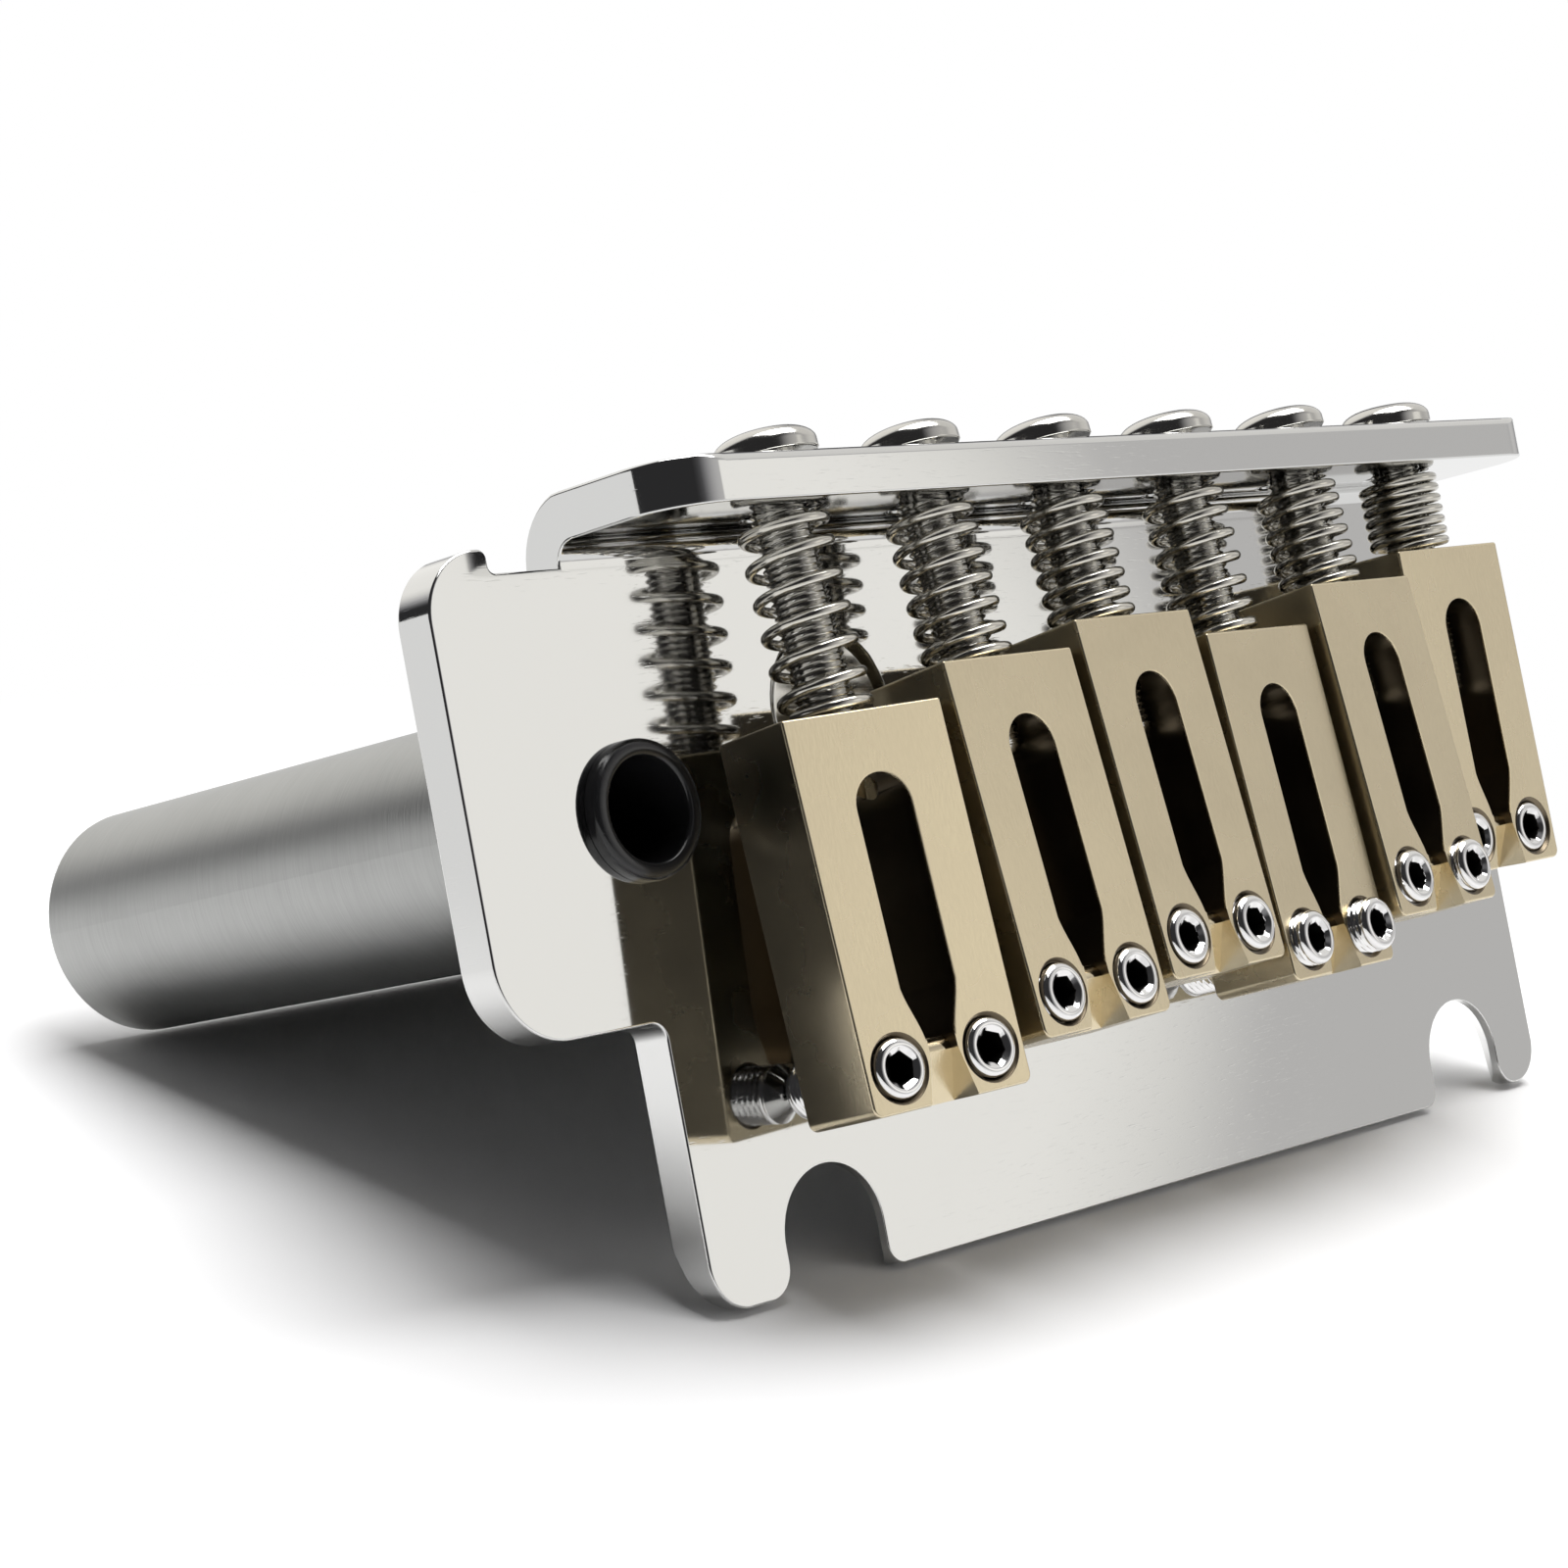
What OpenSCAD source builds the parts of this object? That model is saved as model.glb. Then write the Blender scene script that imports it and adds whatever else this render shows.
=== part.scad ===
// Two-point guitar tremolo bridge, right-handed, six strings.
// X runs across the strings, from the treble side to the bass side.
// Y runs from the pivot edge back to the flange, and Z stands up from the base plate.
// The origin lies on the top face of the plate, midway between the centres of the two pivot notches.

/* [Base plate] */
// Thickness of the bent steel sheet
plate_t = 2.5; // [2:0.1:3]
// Distance from the origin to the treble edge of the plate
plate_treble = 36.8; // [36:0.1:38]
// Distance from the origin to the bass edge of the plate
plate_bass = 35.6; // [34.6:0.1:37]
// Distance from the pivot line to the inner face of the flange
plate_depth = 35.5; // [35:0.1:38]
// How far the tongue and the tabs reach in front of the pivot line
lip_reach = 2.4; // [2:0.1:3]
// Radius of the outer corner of each tab
tab_corner_r = 2.4; // [1.5:0.1:2.6]
// Radius of the inner corner of each tab
tab_inner_r = 1.6; // [1:0.1:1.8]
// Radius of the two corners of the tongue
tongue_corner_r = 1.1; // [0.5:0.1:1.5]

/* [Pivot notches] */
// Distance between the centres of the two studs
stud_spacing = 56; // [55:0.1:57]
// Radius of the round end of each notch
notch_r = 3.5; // [3.2:0.1:3.8]
// Thickness of the knife edge that rides in the stud's groove
knife_t = 0.5; // [0.4:0.1:0.8]
// Width of the bevel under the knife edge
knife_bevel = 2; // [1.5:0.1:2.2]
// Thickness left at the very front of the plate above its bevel
lip_t = 1; // [0.8:0.1:1.4]
// Length of the bevel under the front of the plate
lip_bevel = 3.8; // [3:0.1:4.5]

/* [Arm wing] */
// How far the wing stands out past the treble edge
wing_reach = 9.9; // [9:0.1:11]
// Distance from the pivot line to the front edge of the wing
wing_front = 12; // [11:0.1:13]
// Radius of the wing's front corner
wing_front_r = 4; // [2:0.1:5]
// Radius of the wing's rear corner
wing_rear_r = 2.8; // [2:0.1:4]
// Radius of the inner corner where the wing meets the plate's edge
wing_inner_r = 0.9; // [0.5:0.1:2]
// Width of the bend relief beside the flange
relief_w = 4.4; // [3.5:0.1:5]
// Depth of the bend relief
relief_d = 1.2; // [0.8:0.1:1.8]

/* [Flange] */
// Height of the flange above the top of the plate
flange_h = 8.9; // [8.6:0.1:10]
// Thickness of the flange, whose rear face is ground flat
flange_t = 2.4; // [2.2:0.05:2.45]
// Radius of the flange's upper rear edge
flange_edge_r = 0.5; // [0.3:0.1:0.7]
// How far the flange's treble end stands out past the treble edge
flange_overhang = 1.4; // [1:0.1:2]
// Radius of the flange's upper corners
flange_corner_r = 3.6; // [2.5:0.1:4]
// Inner radius of the bend
bend_r = 1.2; // [1:0.1:1.6]

/* [Sustain block] */
// Distance from the pivot line to the centre line of the block
block_y = 22.5; // [21.5:0.1:23]
// Thickness of the block, also the diameter of its half-round ends
block_t = 12.6; // [12.4:0.1:13.5]
// Depth of the block below the plate
block_d = 41.5; // [36:0.5:44]
// Distance from the string line to the block's centre line
string_hole_offset = 2.5; // [2.3:0.1:2.8]
// Radius of the string holes through the block
string_hole_r = 1.1; // [0.9:0.1:1.3]
// Radius of the pockets for the ball ends
ball_pocket_r = 2.3; // [2.1:0.1:2.5]
// Depth of the pockets for the ball ends
ball_pocket_d = 20; // [16:0.5:24]
// Radius of the string holes in the plate
plate_string_r = 1.7; // [1.4:0.1:2]
// Radius of the five holes for the claw springs
claw_hole_r = 1.2; // [1:0.1:1.3]
// Depth of the holes for the claw springs
claw_hole_d = 8; // [6:0.5:10]
// Distance from the treble edge of the plate to the centre of the block's round end
block_end_inset = 1.6; // [1.3:0.1:2]

/* [Block screws] */
// Distance from the block's centre line back to the row of screws
block_screw_offset = 3.5; // [3:0.1:3.6]
// Radius of the screws' thread
block_screw_r = 1.9; // [1.7:0.05:2]
// Length of the screws
block_screw_l = 14; // [12:0.5:16]
// Radius of the countersunk heads
block_head_r = 3.9; // [3.6:0.1:4]
// How far the heads sink below the plate
block_head_sink = 0.3; // [0:0.1:0.4]
// Height of the countersunk heads
block_head_h = 1.7; // [1.6:0.1:1.9]

/* [Arm bushing] */
// Distance from the treble edge of the plate to the centre of the arm hole
arm_inset = 0.85; // [0.6:0.05:1.1]
// Distance from the pivot line to the centre of the arm hole
arm_y = 22.2; // [21.5:0.1:22.5]
// Outer radius of the bushing
bushing_r = 3.15; // [3:0.05:3.3]
// Radius of the hole for the arm
arm_r = 2.6; // [2.4:0.05:2.7]
// Length of the bushing
bushing_l = 14; // [10:0.5:16]
// Radius of the bushing's collar
collar_r = 3.5; // [3.4:0.1:3.8]
// Height of the collar above the plate
collar_h = 0.9; // [0.7:0.1:1.2]

/* [Strings] */
// Distance between neighbouring strings
string_pitch = 10.7; // [10.5:0.1:10.8]
// Distance of each saddle's rear face from the pivot of its screw, treble string first
reach = [11.75, 10.05, 8.65, 10.05, 7.95, 6.15];
// Upward slope of each saddle towards the front in degrees, treble string first
tilt = [4, 6.4, 6.3, 4.7, 5.5, 0.5];
// Roll of each saddle about its screw in degrees, treble edge down, treble string first
roll = [8, 0, -1.5, -3, -1.5, 1.5];

/* [Saddles] */
// Width of a saddle
saddle_w = 10; // [9.8:0.1:10.2]
// Length of a saddle
saddle_l = 19.5; // [19:0.1:21]
// Height of a saddle
saddle_h = 5.4; // [5:0.1:6]
// Thickness of the wall behind the slot, which holds the intonation thread
saddle_wall = 3.2; // [2.8:0.1:3.6]
// Width of the slot
slot_w = 3.4; // [3.2:0.1:3.6]
// Distance from the front face to where the slot starts to narrow
taper_start = 5.8; // [5.4:0.1:6.4]
// Distance from the front face to the crest that the string bends over
crest_y = 2.5; // [2.2:0.1:2.8]
// Radius of the crest
crest_r = 0.7; // [0.5:0.1:0.9]
// Depth of the crest below the top of the saddle
crest_drop = 0.5; // [0.3:0.1:0.8]
// Width of the neck at the crest
neck_w = 1.8; // [1.6:0.1:2]
// Width of the flare at the front face
flare_w = 3; // [2.6:0.1:3.4]
// Fall of the string ramp from the crest to the front face
ramp_drop = 1.5; // [1:0.1:2]

/* [Height screws] */
// Radius of the height screws
height_screw_r = 1.5; // [1.4:0.05:1.55]
// Length of the height screws, treble string first
height_screw_l = [8.2, 9.7, 9.5, 9.5, 9.3, 6.7];
// Lift of the bass-side height screws off the plate, treble string first
bass_lift = [0.8, 0, 0, 0, 0, 0];
// Distance between the two height screws of a saddle
height_screw_gap = 5.8; // [5.7:0.1:5.9]
// Distance from the saddle's front face to the height screws
height_screw_y = 2.1; // [2:0.1:2.5]
// Radius of the screws' points
point_r = 0.9; // [0.7:0.1:1.1]
// Gap between the screws' points and the plate
tip_gap = 0.3; // [0.3:0.05:0.6]
// Width across the flats of the sockets
socket_w = 1.5; // [1.3:0.1:1.6]
// Depth of the sockets
socket_d = 2; // [1.5:0.1:2.5]

/* [Intonation screws] */
// Height of the screws' pivots above the plate
screw_z = 4; // [3.9:0.1:4.4]
// Radius of the intonation screws
screw_r = 1.5; // [1.4:0.05:1.55]
// Length of the screws under the head
screw_l = 16.5; // [15:0.5:18]
// Radius of the heads
head_r = 2.7; // [2.5:0.05:2.8]
// Height of the heads
head_h = 1.4; // [1.3:0.1:1.8]
// Gap at the centre of the head, which lets the screw tilt
head_gap = 0.42; // [0.4:0.02:0.5]
// Radius of the holes in the flange
flange_hole_r = 1.9; // [1.85:0.05:2]
// Radial gap of the threads in the saddles
thread_gap = 0.05; // [0.03:0.01:0.08]

/* [Springs] */
// Outer radius of the springs
spring_r = 2.65; // [2.5:0.05:2.8]
// Thickness of the spring wire
wire_t = 0.45; // [0.4:0.05:0.5]
// Turns of each spring, treble string first
turns = [5.5, 5.5, 5.5, 5.5, 5.5, 4];
// Gap between a spring's end and what it presses on
spring_gap = 0.1; // [0.1:0.05:0.2]

/* [Hidden] */
$fn = 48;
// Overshoot of a cut past the face that it opens
e = 0.5;
// Clearance between the bushing or a screw and its hole
fit_gap = 0.03;
strings = 6;
block_screw_x = [-2 * string_pitch, 0, 2 * string_pitch];
claw_hole_x = [-2 * string_pitch, -string_pitch, 0, string_pitch, 2 * string_pitch];
flange_y = plate_depth + flange_t;
pivot_y = plate_depth + flange_t / 2;
arm_x = -plate_treble + arm_inset;
wing_x = -plate_treble - wing_reach;
flange_x = -plate_treble - flange_overhang;
block_treble_x = -plate_treble + block_end_inset;
block_bass_x = string_x(strings - 1);
string_line_y = block_y - string_hole_offset;
block_screw_y = block_y + block_screw_offset;
screw_seat = flange_t / 2 + head_gap;
coil_r = spring_r - wire_t / 2;
coil_sides = 6;
coil_rings = 8;

// Place of string i across the plate
function string_x(i) = (i - (strings - 1) / 2) * string_pitch;

// Rounds a vertical edge: the part outside a quarter circle, with the corner at the origin
module corner_cut(r, h) {
    difference() {
        translate([-e, -e, 0]) cube([r + e, r + e, h]);
        translate([r, r, -e]) cylinder(r = r, h = h + 2 * e);
    }
}

// Stands a corner cut at a corner of the plate and turns it
module plate_corner(x, y, turn, r) {
    translate([x, y, -plate_t - e]) rotate([0, 0, turn]) corner_cut(r, plate_t + 2 * e);
}

// Bent sheet: the flat part, the quarter bend and the flange, without the wing
module bent_sheet() {
    width = plate_treble + plate_bass;
    flat = plate_depth - bend_r + lip_reach;
    translate([-plate_treble, -lip_reach, -plate_t]) cube([width, flat, plate_t]);
    translate([flange_x, plate_depth - bend_r, 0])
        difference() {
            translate([0, 0, bend_r]) rotate([0, 90, 0])
                cylinder(r = bend_r + plate_t, h = width + flange_overhang);
            translate([-e, 0, bend_r]) rotate([0, 90, 0])
                cylinder(r = bend_r, h = width + flange_overhang + 2 * e);
            translate([-e, -bend_r - 2 * plate_t, -2 * plate_t])
                cube([width + flange_overhang + 2 * e, bend_r + 2 * plate_t, 4 * plate_t + 2 * bend_r]);
            translate([-e, -e, bend_r])
                cube([width + flange_overhang + 2 * e, 2 * plate_t + bend_r + e, 2 * plate_t]);
            translate([-e, bend_r + flange_t, -plate_t])
                cube([width + flange_overhang + 2 * e, plate_t, 2 * plate_t + bend_r]);
        }
    translate([flange_x, plate_depth, bend_r])
        cube([width + flange_overhang, flange_t, flange_h - bend_r]);
}

// Wing at the treble side, with the bend relief cut into its rear edge
module wing() {
    rear = plate_depth - bend_r + relief_d;
    difference() {
        translate([wing_x, wing_front, -plate_t]) cube([wing_reach + e, rear - wing_front, plate_t]);
        translate([flange_x - relief_w, rear - relief_d, -plate_t - e])
            cube([relief_w + flange_overhang + 2 * e, relief_d + e, plate_t + 2 * e]);
        plate_corner(wing_x, wing_front, 0, wing_front_r);
        plate_corner(wing_x, rear, -90, wing_rear_r);
    }
    translate([-plate_treble, wing_front, -plate_t]) mirror([1, 1, 0]) corner_fillet(wing_inner_r);
}

// Fillet in the inner corner between two edges that leave the origin along X and Y
module corner_fillet(r) {
    difference() {
        cube([r, r, plate_t]);
        translate([r, r, -e]) cylinder(r = r, h = plate_t + 2 * e);
    }
}

// Pivot notch: the U that the stud stands in, with its knife edge bevelled from below
module pivot_notch(x) {
    low = plate_t - knife_t;
    translate([x, 0, -plate_t - e]) cylinder(r = notch_r, h = plate_t + 2 * e);
    translate([x - notch_r, -lip_reach - e, -plate_t - e])
        cube([2 * notch_r, lip_reach + e, plate_t + 2 * e]);
    translate([x, 0, -plate_t]) cylinder(r1 = notch_r + knife_bevel, r2 = notch_r, h = low);
    translate([x, e, -plate_t]) rotate([90, 0, 0])
        linear_extrude(lip_reach + 2 * e)
            polygon([
                [-notch_r - knife_bevel, 0], [notch_r + knife_bevel, 0], [notch_r, low], [-notch_r, low]
            ]);
}

// Flange hole that an intonation screw passes and tilts in
module flange_hole(i) {
    translate([string_x(i), plate_depth - e, screw_z]) rotate([-90, 0, 0])
        cylinder(r = flange_hole_r, h = flange_t + 2 * e);
}

// Countersunk hole for a block screw
module countersink(x) {
    slope = (block_head_r - block_screw_r) / block_head_h;
    depth = block_head_h + block_head_sink;
    translate([x, block_screw_y, -plate_t - e]) cylinder(r = block_screw_r + fit_gap, h = plate_t + e);
    translate([x, block_screw_y, -depth])
        cylinder(r1 = block_screw_r, r2 = block_screw_r + slope * (depth + e), h = depth + e);
}

module base_plate() {
    side = stud_spacing / 2;
    color("gainsboro")
        difference() {
            union() {
                bent_sheet();
                wing();
            }
            for (x = [-side, side]) pivot_notch(x);
            plate_corner(-plate_treble, -lip_reach, 0, tab_corner_r);
            plate_corner(plate_bass, -lip_reach, 90, tab_corner_r);
            plate_corner(-side - notch_r, -lip_reach, 90, tab_inner_r);
            plate_corner(side + notch_r, -lip_reach, 0, tab_inner_r);
            plate_corner(-side + notch_r, -lip_reach, 0, tongue_corner_r);
            plate_corner(side - notch_r, -lip_reach, 90, tongue_corner_r);
            translate([-plate_treble - e, -lip_reach, -plate_t]) rotate([90, 0, 90])
                linear_extrude(plate_treble + plate_bass + 2 * e)
                    polygon([
                        [-e, -e], [lip_bevel, -e], [lip_bevel, 0],
                        [0, plate_t - lip_t], [-e, plate_t - lip_t]
                    ]);
            for (end = [[flange_x, 0], [plate_bass, 1]])
                translate([end[0], flange_y + e, flange_h]) rotate([90, 90, 0]) mirror([0, end[1], 0])
                    corner_cut(flange_corner_r, flange_t + 2 * e);
            translate([flange_x - e, flange_y, flange_h]) rotate([180, 0, 0]) rotate([90, 0, 90])
                corner_cut(flange_edge_r, plate_treble + plate_bass + flange_overhang + 2 * e);
            translate([arm_x, arm_y, -plate_t - e]) cylinder(r = bushing_r + fit_gap, h = plate_t + 2 * e);
            for (i = [0:strings - 1]) {
                flange_hole(i);
                translate([string_x(i), string_line_y, -plate_t - e])
                    cylinder(r = plate_string_r, h = plate_t + 2 * e);
            }
            for (x = block_screw_x) countersink(x);
        }
}

module sustain_block() {
    foot = -plate_t - block_d;
    color("silver")
        difference() {
            union() {
                for (x = [block_treble_x, block_bass_x])
                    translate([x, block_y, foot]) cylinder(r = block_t / 2, h = block_d);
                translate([block_treble_x, block_y - block_t / 2, foot])
                    cube([block_bass_x - block_treble_x, block_t, block_d]);
            }
            translate([arm_x, arm_y, -bushing_l - 2 * fit_gap])
                cylinder(r = bushing_r + fit_gap, h = bushing_l);
            for (i = [0:strings - 1]) translate([string_x(i), string_line_y, foot]) {
                cylinder(r = string_hole_r, h = block_d + e);
                translate([0, 0, -e]) cylinder(r = ball_pocket_r, h = ball_pocket_d + e);
            }
            for (x = block_screw_x)
                translate([x, block_screw_y, -block_screw_l - block_head_sink - fit_gap])
                    cylinder(r = block_screw_r, h = block_screw_l);
            for (x = claw_hole_x)
                translate([x, block_screw_y, foot - e]) cylinder(r = claw_hole_r, h = claw_hole_d + e);
        }
}

module arm_bushing() {
    mouth = 0.25;
    color("black")
        translate([arm_x, arm_y, 0])
            rotate_extrude() polygon([
                [arm_r, -bushing_l], [bushing_r, -bushing_l], [bushing_r, fit_gap], [collar_r, fit_gap],
                [collar_r, collar_h / 3], [arm_r + 2 * mouth, collar_h], [arm_r + mouth, collar_h],
                [arm_r, collar_h - mouth]
            ]);
}

// Countersunk screw with a cross recess, head up, lying just inside its hole
module block_screw(x) {
    slot = 0.8;
    color("silver")
        translate([x, block_screw_y, -block_head_sink])
            difference() {
                union() {
                    translate([0, 0, -block_head_h]) cylinder(
                        r1 = block_screw_r - fit_gap, r2 = block_head_r - fit_gap, h = block_head_h);
                    translate([0, 0, -block_screw_l])
                        cylinder(r = block_screw_r - fit_gap, h = block_screw_l - block_head_h / 2);
                }
                cross_recess(block_head_r * 0.6, slot, block_head_h * 0.7);
            }
}

// Cross recess cut down from the origin: two crossing slots inside a cone
module cross_recess(r, width, depth) {
    intersection() {
        translate([0, 0, -depth]) cylinder(r1 = width / 2, r2 = r, h = depth + e);
        union() {
            translate([-r - e, -width / 2, -depth]) cube([2 * r + 2 * e, width, depth + 2 * e]);
            translate([-width / 2, -r - e, -depth]) cube([width, 2 * r + 2 * e, depth + 2 * e]);
        }
    }
}

// Frame of one string: the origin on its screw's pivot in the flange, -Y along the screw to the front
module string_frame(i) {
    translate([string_x(i), pivot_y, screw_z]) rotate([-tilt[i], 0, 0]) rotate([0, -roll[i], 0]) children();
}

// Outline of the slot, with its round end to the rear and its neck to the front
module slot_shape() {
    rear = -saddle_wall - slot_w / 2;
    translate([0, rear, -saddle_h / 2 - e]) cylinder(r = slot_w / 2, h = saddle_h + 2 * e);
    translate([0, 0, -saddle_h / 2 - e]) linear_extrude(saddle_h + 2 * e) polygon([
        [-slot_w / 2, rear], [-slot_w / 2, taper_start - saddle_l],
        [-neck_w / 2, crest_y + crest_r - saddle_l], [neck_w / 2, crest_y + crest_r - saddle_l],
        [slot_w / 2, taper_start - saddle_l], [slot_w / 2, rear]
    ]);
}

// String ramp: flared in plan, round over the crest and falling to the front face
module string_ramp() {
    front = -saddle_l;
    crest = front + crest_y;
    top = saddle_h / 2 - crest_drop;
    steps = 8;
    rise = 80;
    round_over = [for (k = [0:steps]) let (a = rise * k / steps)
        [crest + crest_r * sin(a), top - crest_r * (1 - cos(a))]];
    intersection() {
        translate([0, 0, -saddle_h]) linear_extrude(2 * saddle_h) polygon([
            [-neck_w / 2, crest + crest_r + e], [-neck_w / 2, crest],
            [-flare_w / 2, front], [-flare_w / 2, front - e],
            [flare_w / 2, front - e], [flare_w / 2, front],
            [neck_w / 2, crest], [neck_w / 2, crest + crest_r + e]
        ]);
        translate([-slot_w, 0, 0]) rotate([90, 0, 90]) linear_extrude(2 * slot_w) polygon(concat(
            [[front - e, top - ramp_drop], [front, top - ramp_drop]], round_over,
            [[crest + crest_r + e, top - crest_r], [crest + crest_r + e, saddle_h],
                [front - e, saddle_h]]));
    }
}

module saddle(i) {
    rim = 0.2;
    hole_r = height_screw_r + thread_gap;
    color("tan") string_frame(i) translate([0, -reach[i], 0])
        difference() {
            translate([-saddle_w / 2, -saddle_l, -saddle_h / 2]) cube([saddle_w, saddle_l, saddle_h]);
            slot_shape();
            string_ramp();
            translate([0, e, 0]) rotate([90, 0, 0])
                cylinder(r = screw_r + thread_gap, h = saddle_wall + slot_w / 2 + e);
            for (side = [-1, 1])
                translate([side * height_screw_gap / 2, height_screw_y - saddle_l, -saddle_h / 2 - e]) {
                    cylinder(r = hole_r, h = saddle_h + 2 * e);
                    translate([0, 0, saddle_h + e - rim])
                        cylinder(r1 = hole_r, r2 = hole_r + rim + e, h = rim + e);
                }
        }
}

// Depth of a height screw's point below the screw axis, so that it stands just over the plate
function tip_depth(i, side) = let (
        arm = reach[i] + saddle_l - height_screw_y, level = cos(roll[i]) * cos(tilt[i]),
        lift = side * height_screw_gap / 2 * sin(roll[i]) * cos(tilt[i]))
    (screw_z - tip_gap + arm * sin(tilt[i]) + lift - point_r * sqrt(1 - level * level)) / level
        - (side > 0 ? bass_lift[i] : 0);

module height_screw(i, side) {
    top = height_screw_l[i];
    chamfer = 0.25;
    color("lightgray") string_frame(i)
        translate([side * height_screw_gap / 2, height_screw_y - saddle_l - reach[i], -tip_depth(i, side)])
            difference() {
                rotate_extrude() polygon([
                    [0, 0], [point_r, 0], [height_screw_r, height_screw_r - point_r],
                    [height_screw_r, top - chamfer], [height_screw_r - chamfer, top], [0, top]
                ]);
                translate([0, 0, top - socket_d])
                    cylinder(r = socket_w / sqrt(3), h = socket_d + e, $fn = 6);
            }
}

module intonation_screw(i) {
    edge_h = 0.5;
    flat_r = 1.1;
    steps = 8;
    dome = [for (k = [0:steps]) let (a = 90 * k / steps)
        [flat_r + (head_r - flat_r) * cos(a), edge_h + (head_h - edge_h) * sin(a)]];
    slot = 0.55;
    color("lightgray") string_frame(i) translate([0, screw_seat, 0]) rotate([-90, 0, 0])
        difference() {
            union() {
                rotate_extrude() polygon(concat([[0, 0], [head_r, 0]], dome, [[0, head_h]]));
                translate([0, 0, -screw_l]) cylinder(r = screw_r, h = screw_l + edge_h);
            }
            translate([0, 0, head_h]) cross_recess(head_r * 0.55, slot, head_h * 0.65);
        }
}

// Length of a spring: from the flange's inner face, clear of its tilted end, to the saddle
function spring_start(i) = (flange_t / 2 + spring_r * sin(tilt[i])) / cos(tilt[i]) + spring_gap;
function spring_len(i) = reach[i] - spring_gap - spring_start(i);

// Centre line of a spring: a straight stub, the turns, and a straight stub at the other end
function coil_points(i) = let (
        len = spring_len(i), rings = ceil(turns[i] * coil_rings), run = len - 2 * wire_t)
    concat(
        [[coil_r, 0, 0]],
        [for (k = [0:rings]) let (a = 360 * turns[i] * k / rings)
            [coil_r * cos(a), coil_r * sin(a), wire_t + run * k / rings]],
        [[coil_r * cos(360 * turns[i]), coil_r * sin(360 * turns[i]), len]]);

function unit(v) = v / norm(v);

// Direction of the wire at point k, square to the ends
function wire_way(p, k) = (k == 0 || k == len(p) - 1) ? [0, 0, 1] : unit(p[k + 1] - p[k - 1]);

// One ring of the wire round point k, kept from twisting by the direction away from the spring's axis
function wire_ring(p, k) = let (
        way = wire_way(p, k), out = unit([p[k][0], p[k][1], 0]),
        across = unit(cross(way, out)), up = cross(across, way))
    [for (s = [0:coil_sides - 1]) let (a = 360 * s / coil_sides)
        p[k] + wire_t / 2 * (cos(a) * up + sin(a) * across)];

// Least gap of the wire to its own turns, measured between points at least half a turn apart
function coil_gap(p) = min([for (a = [0:len(p) - 1]) for (b = [a + coil_rings / 2:len(p) - 1])
    norm(p[a] - p[b])]) - wire_t;

module intonation_spring(i) {
    p = coil_points(i);
    n = len(p);
    m = coil_sides;
    echo("spring", i + 1, "least gap to itself", coil_gap(p));
    color("dimgray") string_frame(i) rotate([90, 0, 0]) translate([0, 0, spring_start(i)])
        polyhedron(
            points = [for (k = [0:n - 1]) each wire_ring(p, k)],
            faces = concat(
                [for (s = [1:m - 2]) [0, s, s + 1]],
                [for (k = [0:n - 2]) for (s = [0:m - 1]) let (t = (s + 1) % m)
                    each [[k * m + s, (k + 1) * m + s, (k + 1) * m + t],
                        [k * m + s, (k + 1) * m + t, k * m + t]]],
                [for (s = [1:m - 2]) [(n - 1) * m, (n - 1) * m + s + 1, (n - 1) * m + s]]));
}

base_plate();
sustain_block();
arm_bushing();
block_screw(block_screw_x[0]);  // block_screw_1
block_screw(block_screw_x[1]);  // block_screw_2
block_screw(block_screw_x[2]);  // block_screw_3
saddle(0);  // saddle_1
saddle(1);  // saddle_2
saddle(2);  // saddle_3
saddle(3);  // saddle_4
saddle(4);  // saddle_5
saddle(5);  // saddle_6
intonation_screw(0);  // intonation_screw_1
intonation_screw(1);  // intonation_screw_2
intonation_screw(2);  // intonation_screw_3
intonation_screw(3);  // intonation_screw_4
intonation_screw(4);  // intonation_screw_5
intonation_screw(5);  // intonation_screw_6
intonation_spring(0);  // intonation_spring_1
intonation_spring(1);  // intonation_spring_2
intonation_spring(2);  // intonation_spring_3
intonation_spring(3);  // intonation_spring_4
intonation_spring(4);  // intonation_spring_5
intonation_spring(5);  // intonation_spring_6
height_screw(0, -1);  // height_screw_1_treble
height_screw(0, 1);  // height_screw_1_bass
height_screw(1, -1);  // height_screw_2_treble
height_screw(1, 1);  // height_screw_2_bass
height_screw(2, -1);  // height_screw_3_treble
height_screw(2, 1);  // height_screw_3_bass
height_screw(3, -1);  // height_screw_4_treble
height_screw(3, 1);  // height_screw_4_bass
height_screw(4, -1);  // height_screw_5_treble
height_screw(4, 1);  // height_screw_5_bass
height_screw(5, -1);  // height_screw_6_treble
height_screw(5, 1);  // height_screw_6_bass
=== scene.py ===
"""Looks of a two-point guitar tremolo bridge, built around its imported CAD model.

X runs across the strings to the bass side, Y back to the flange, Z up out of the plate. Sizes are in
millimetres until a mesh is finished; the finished meshes are in metres.
"""

import math
from functools import partial

import bmesh
import bpy
from mathutils import Matrix, Vector
from mathutils.geometry import tessellate_polygon


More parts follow.
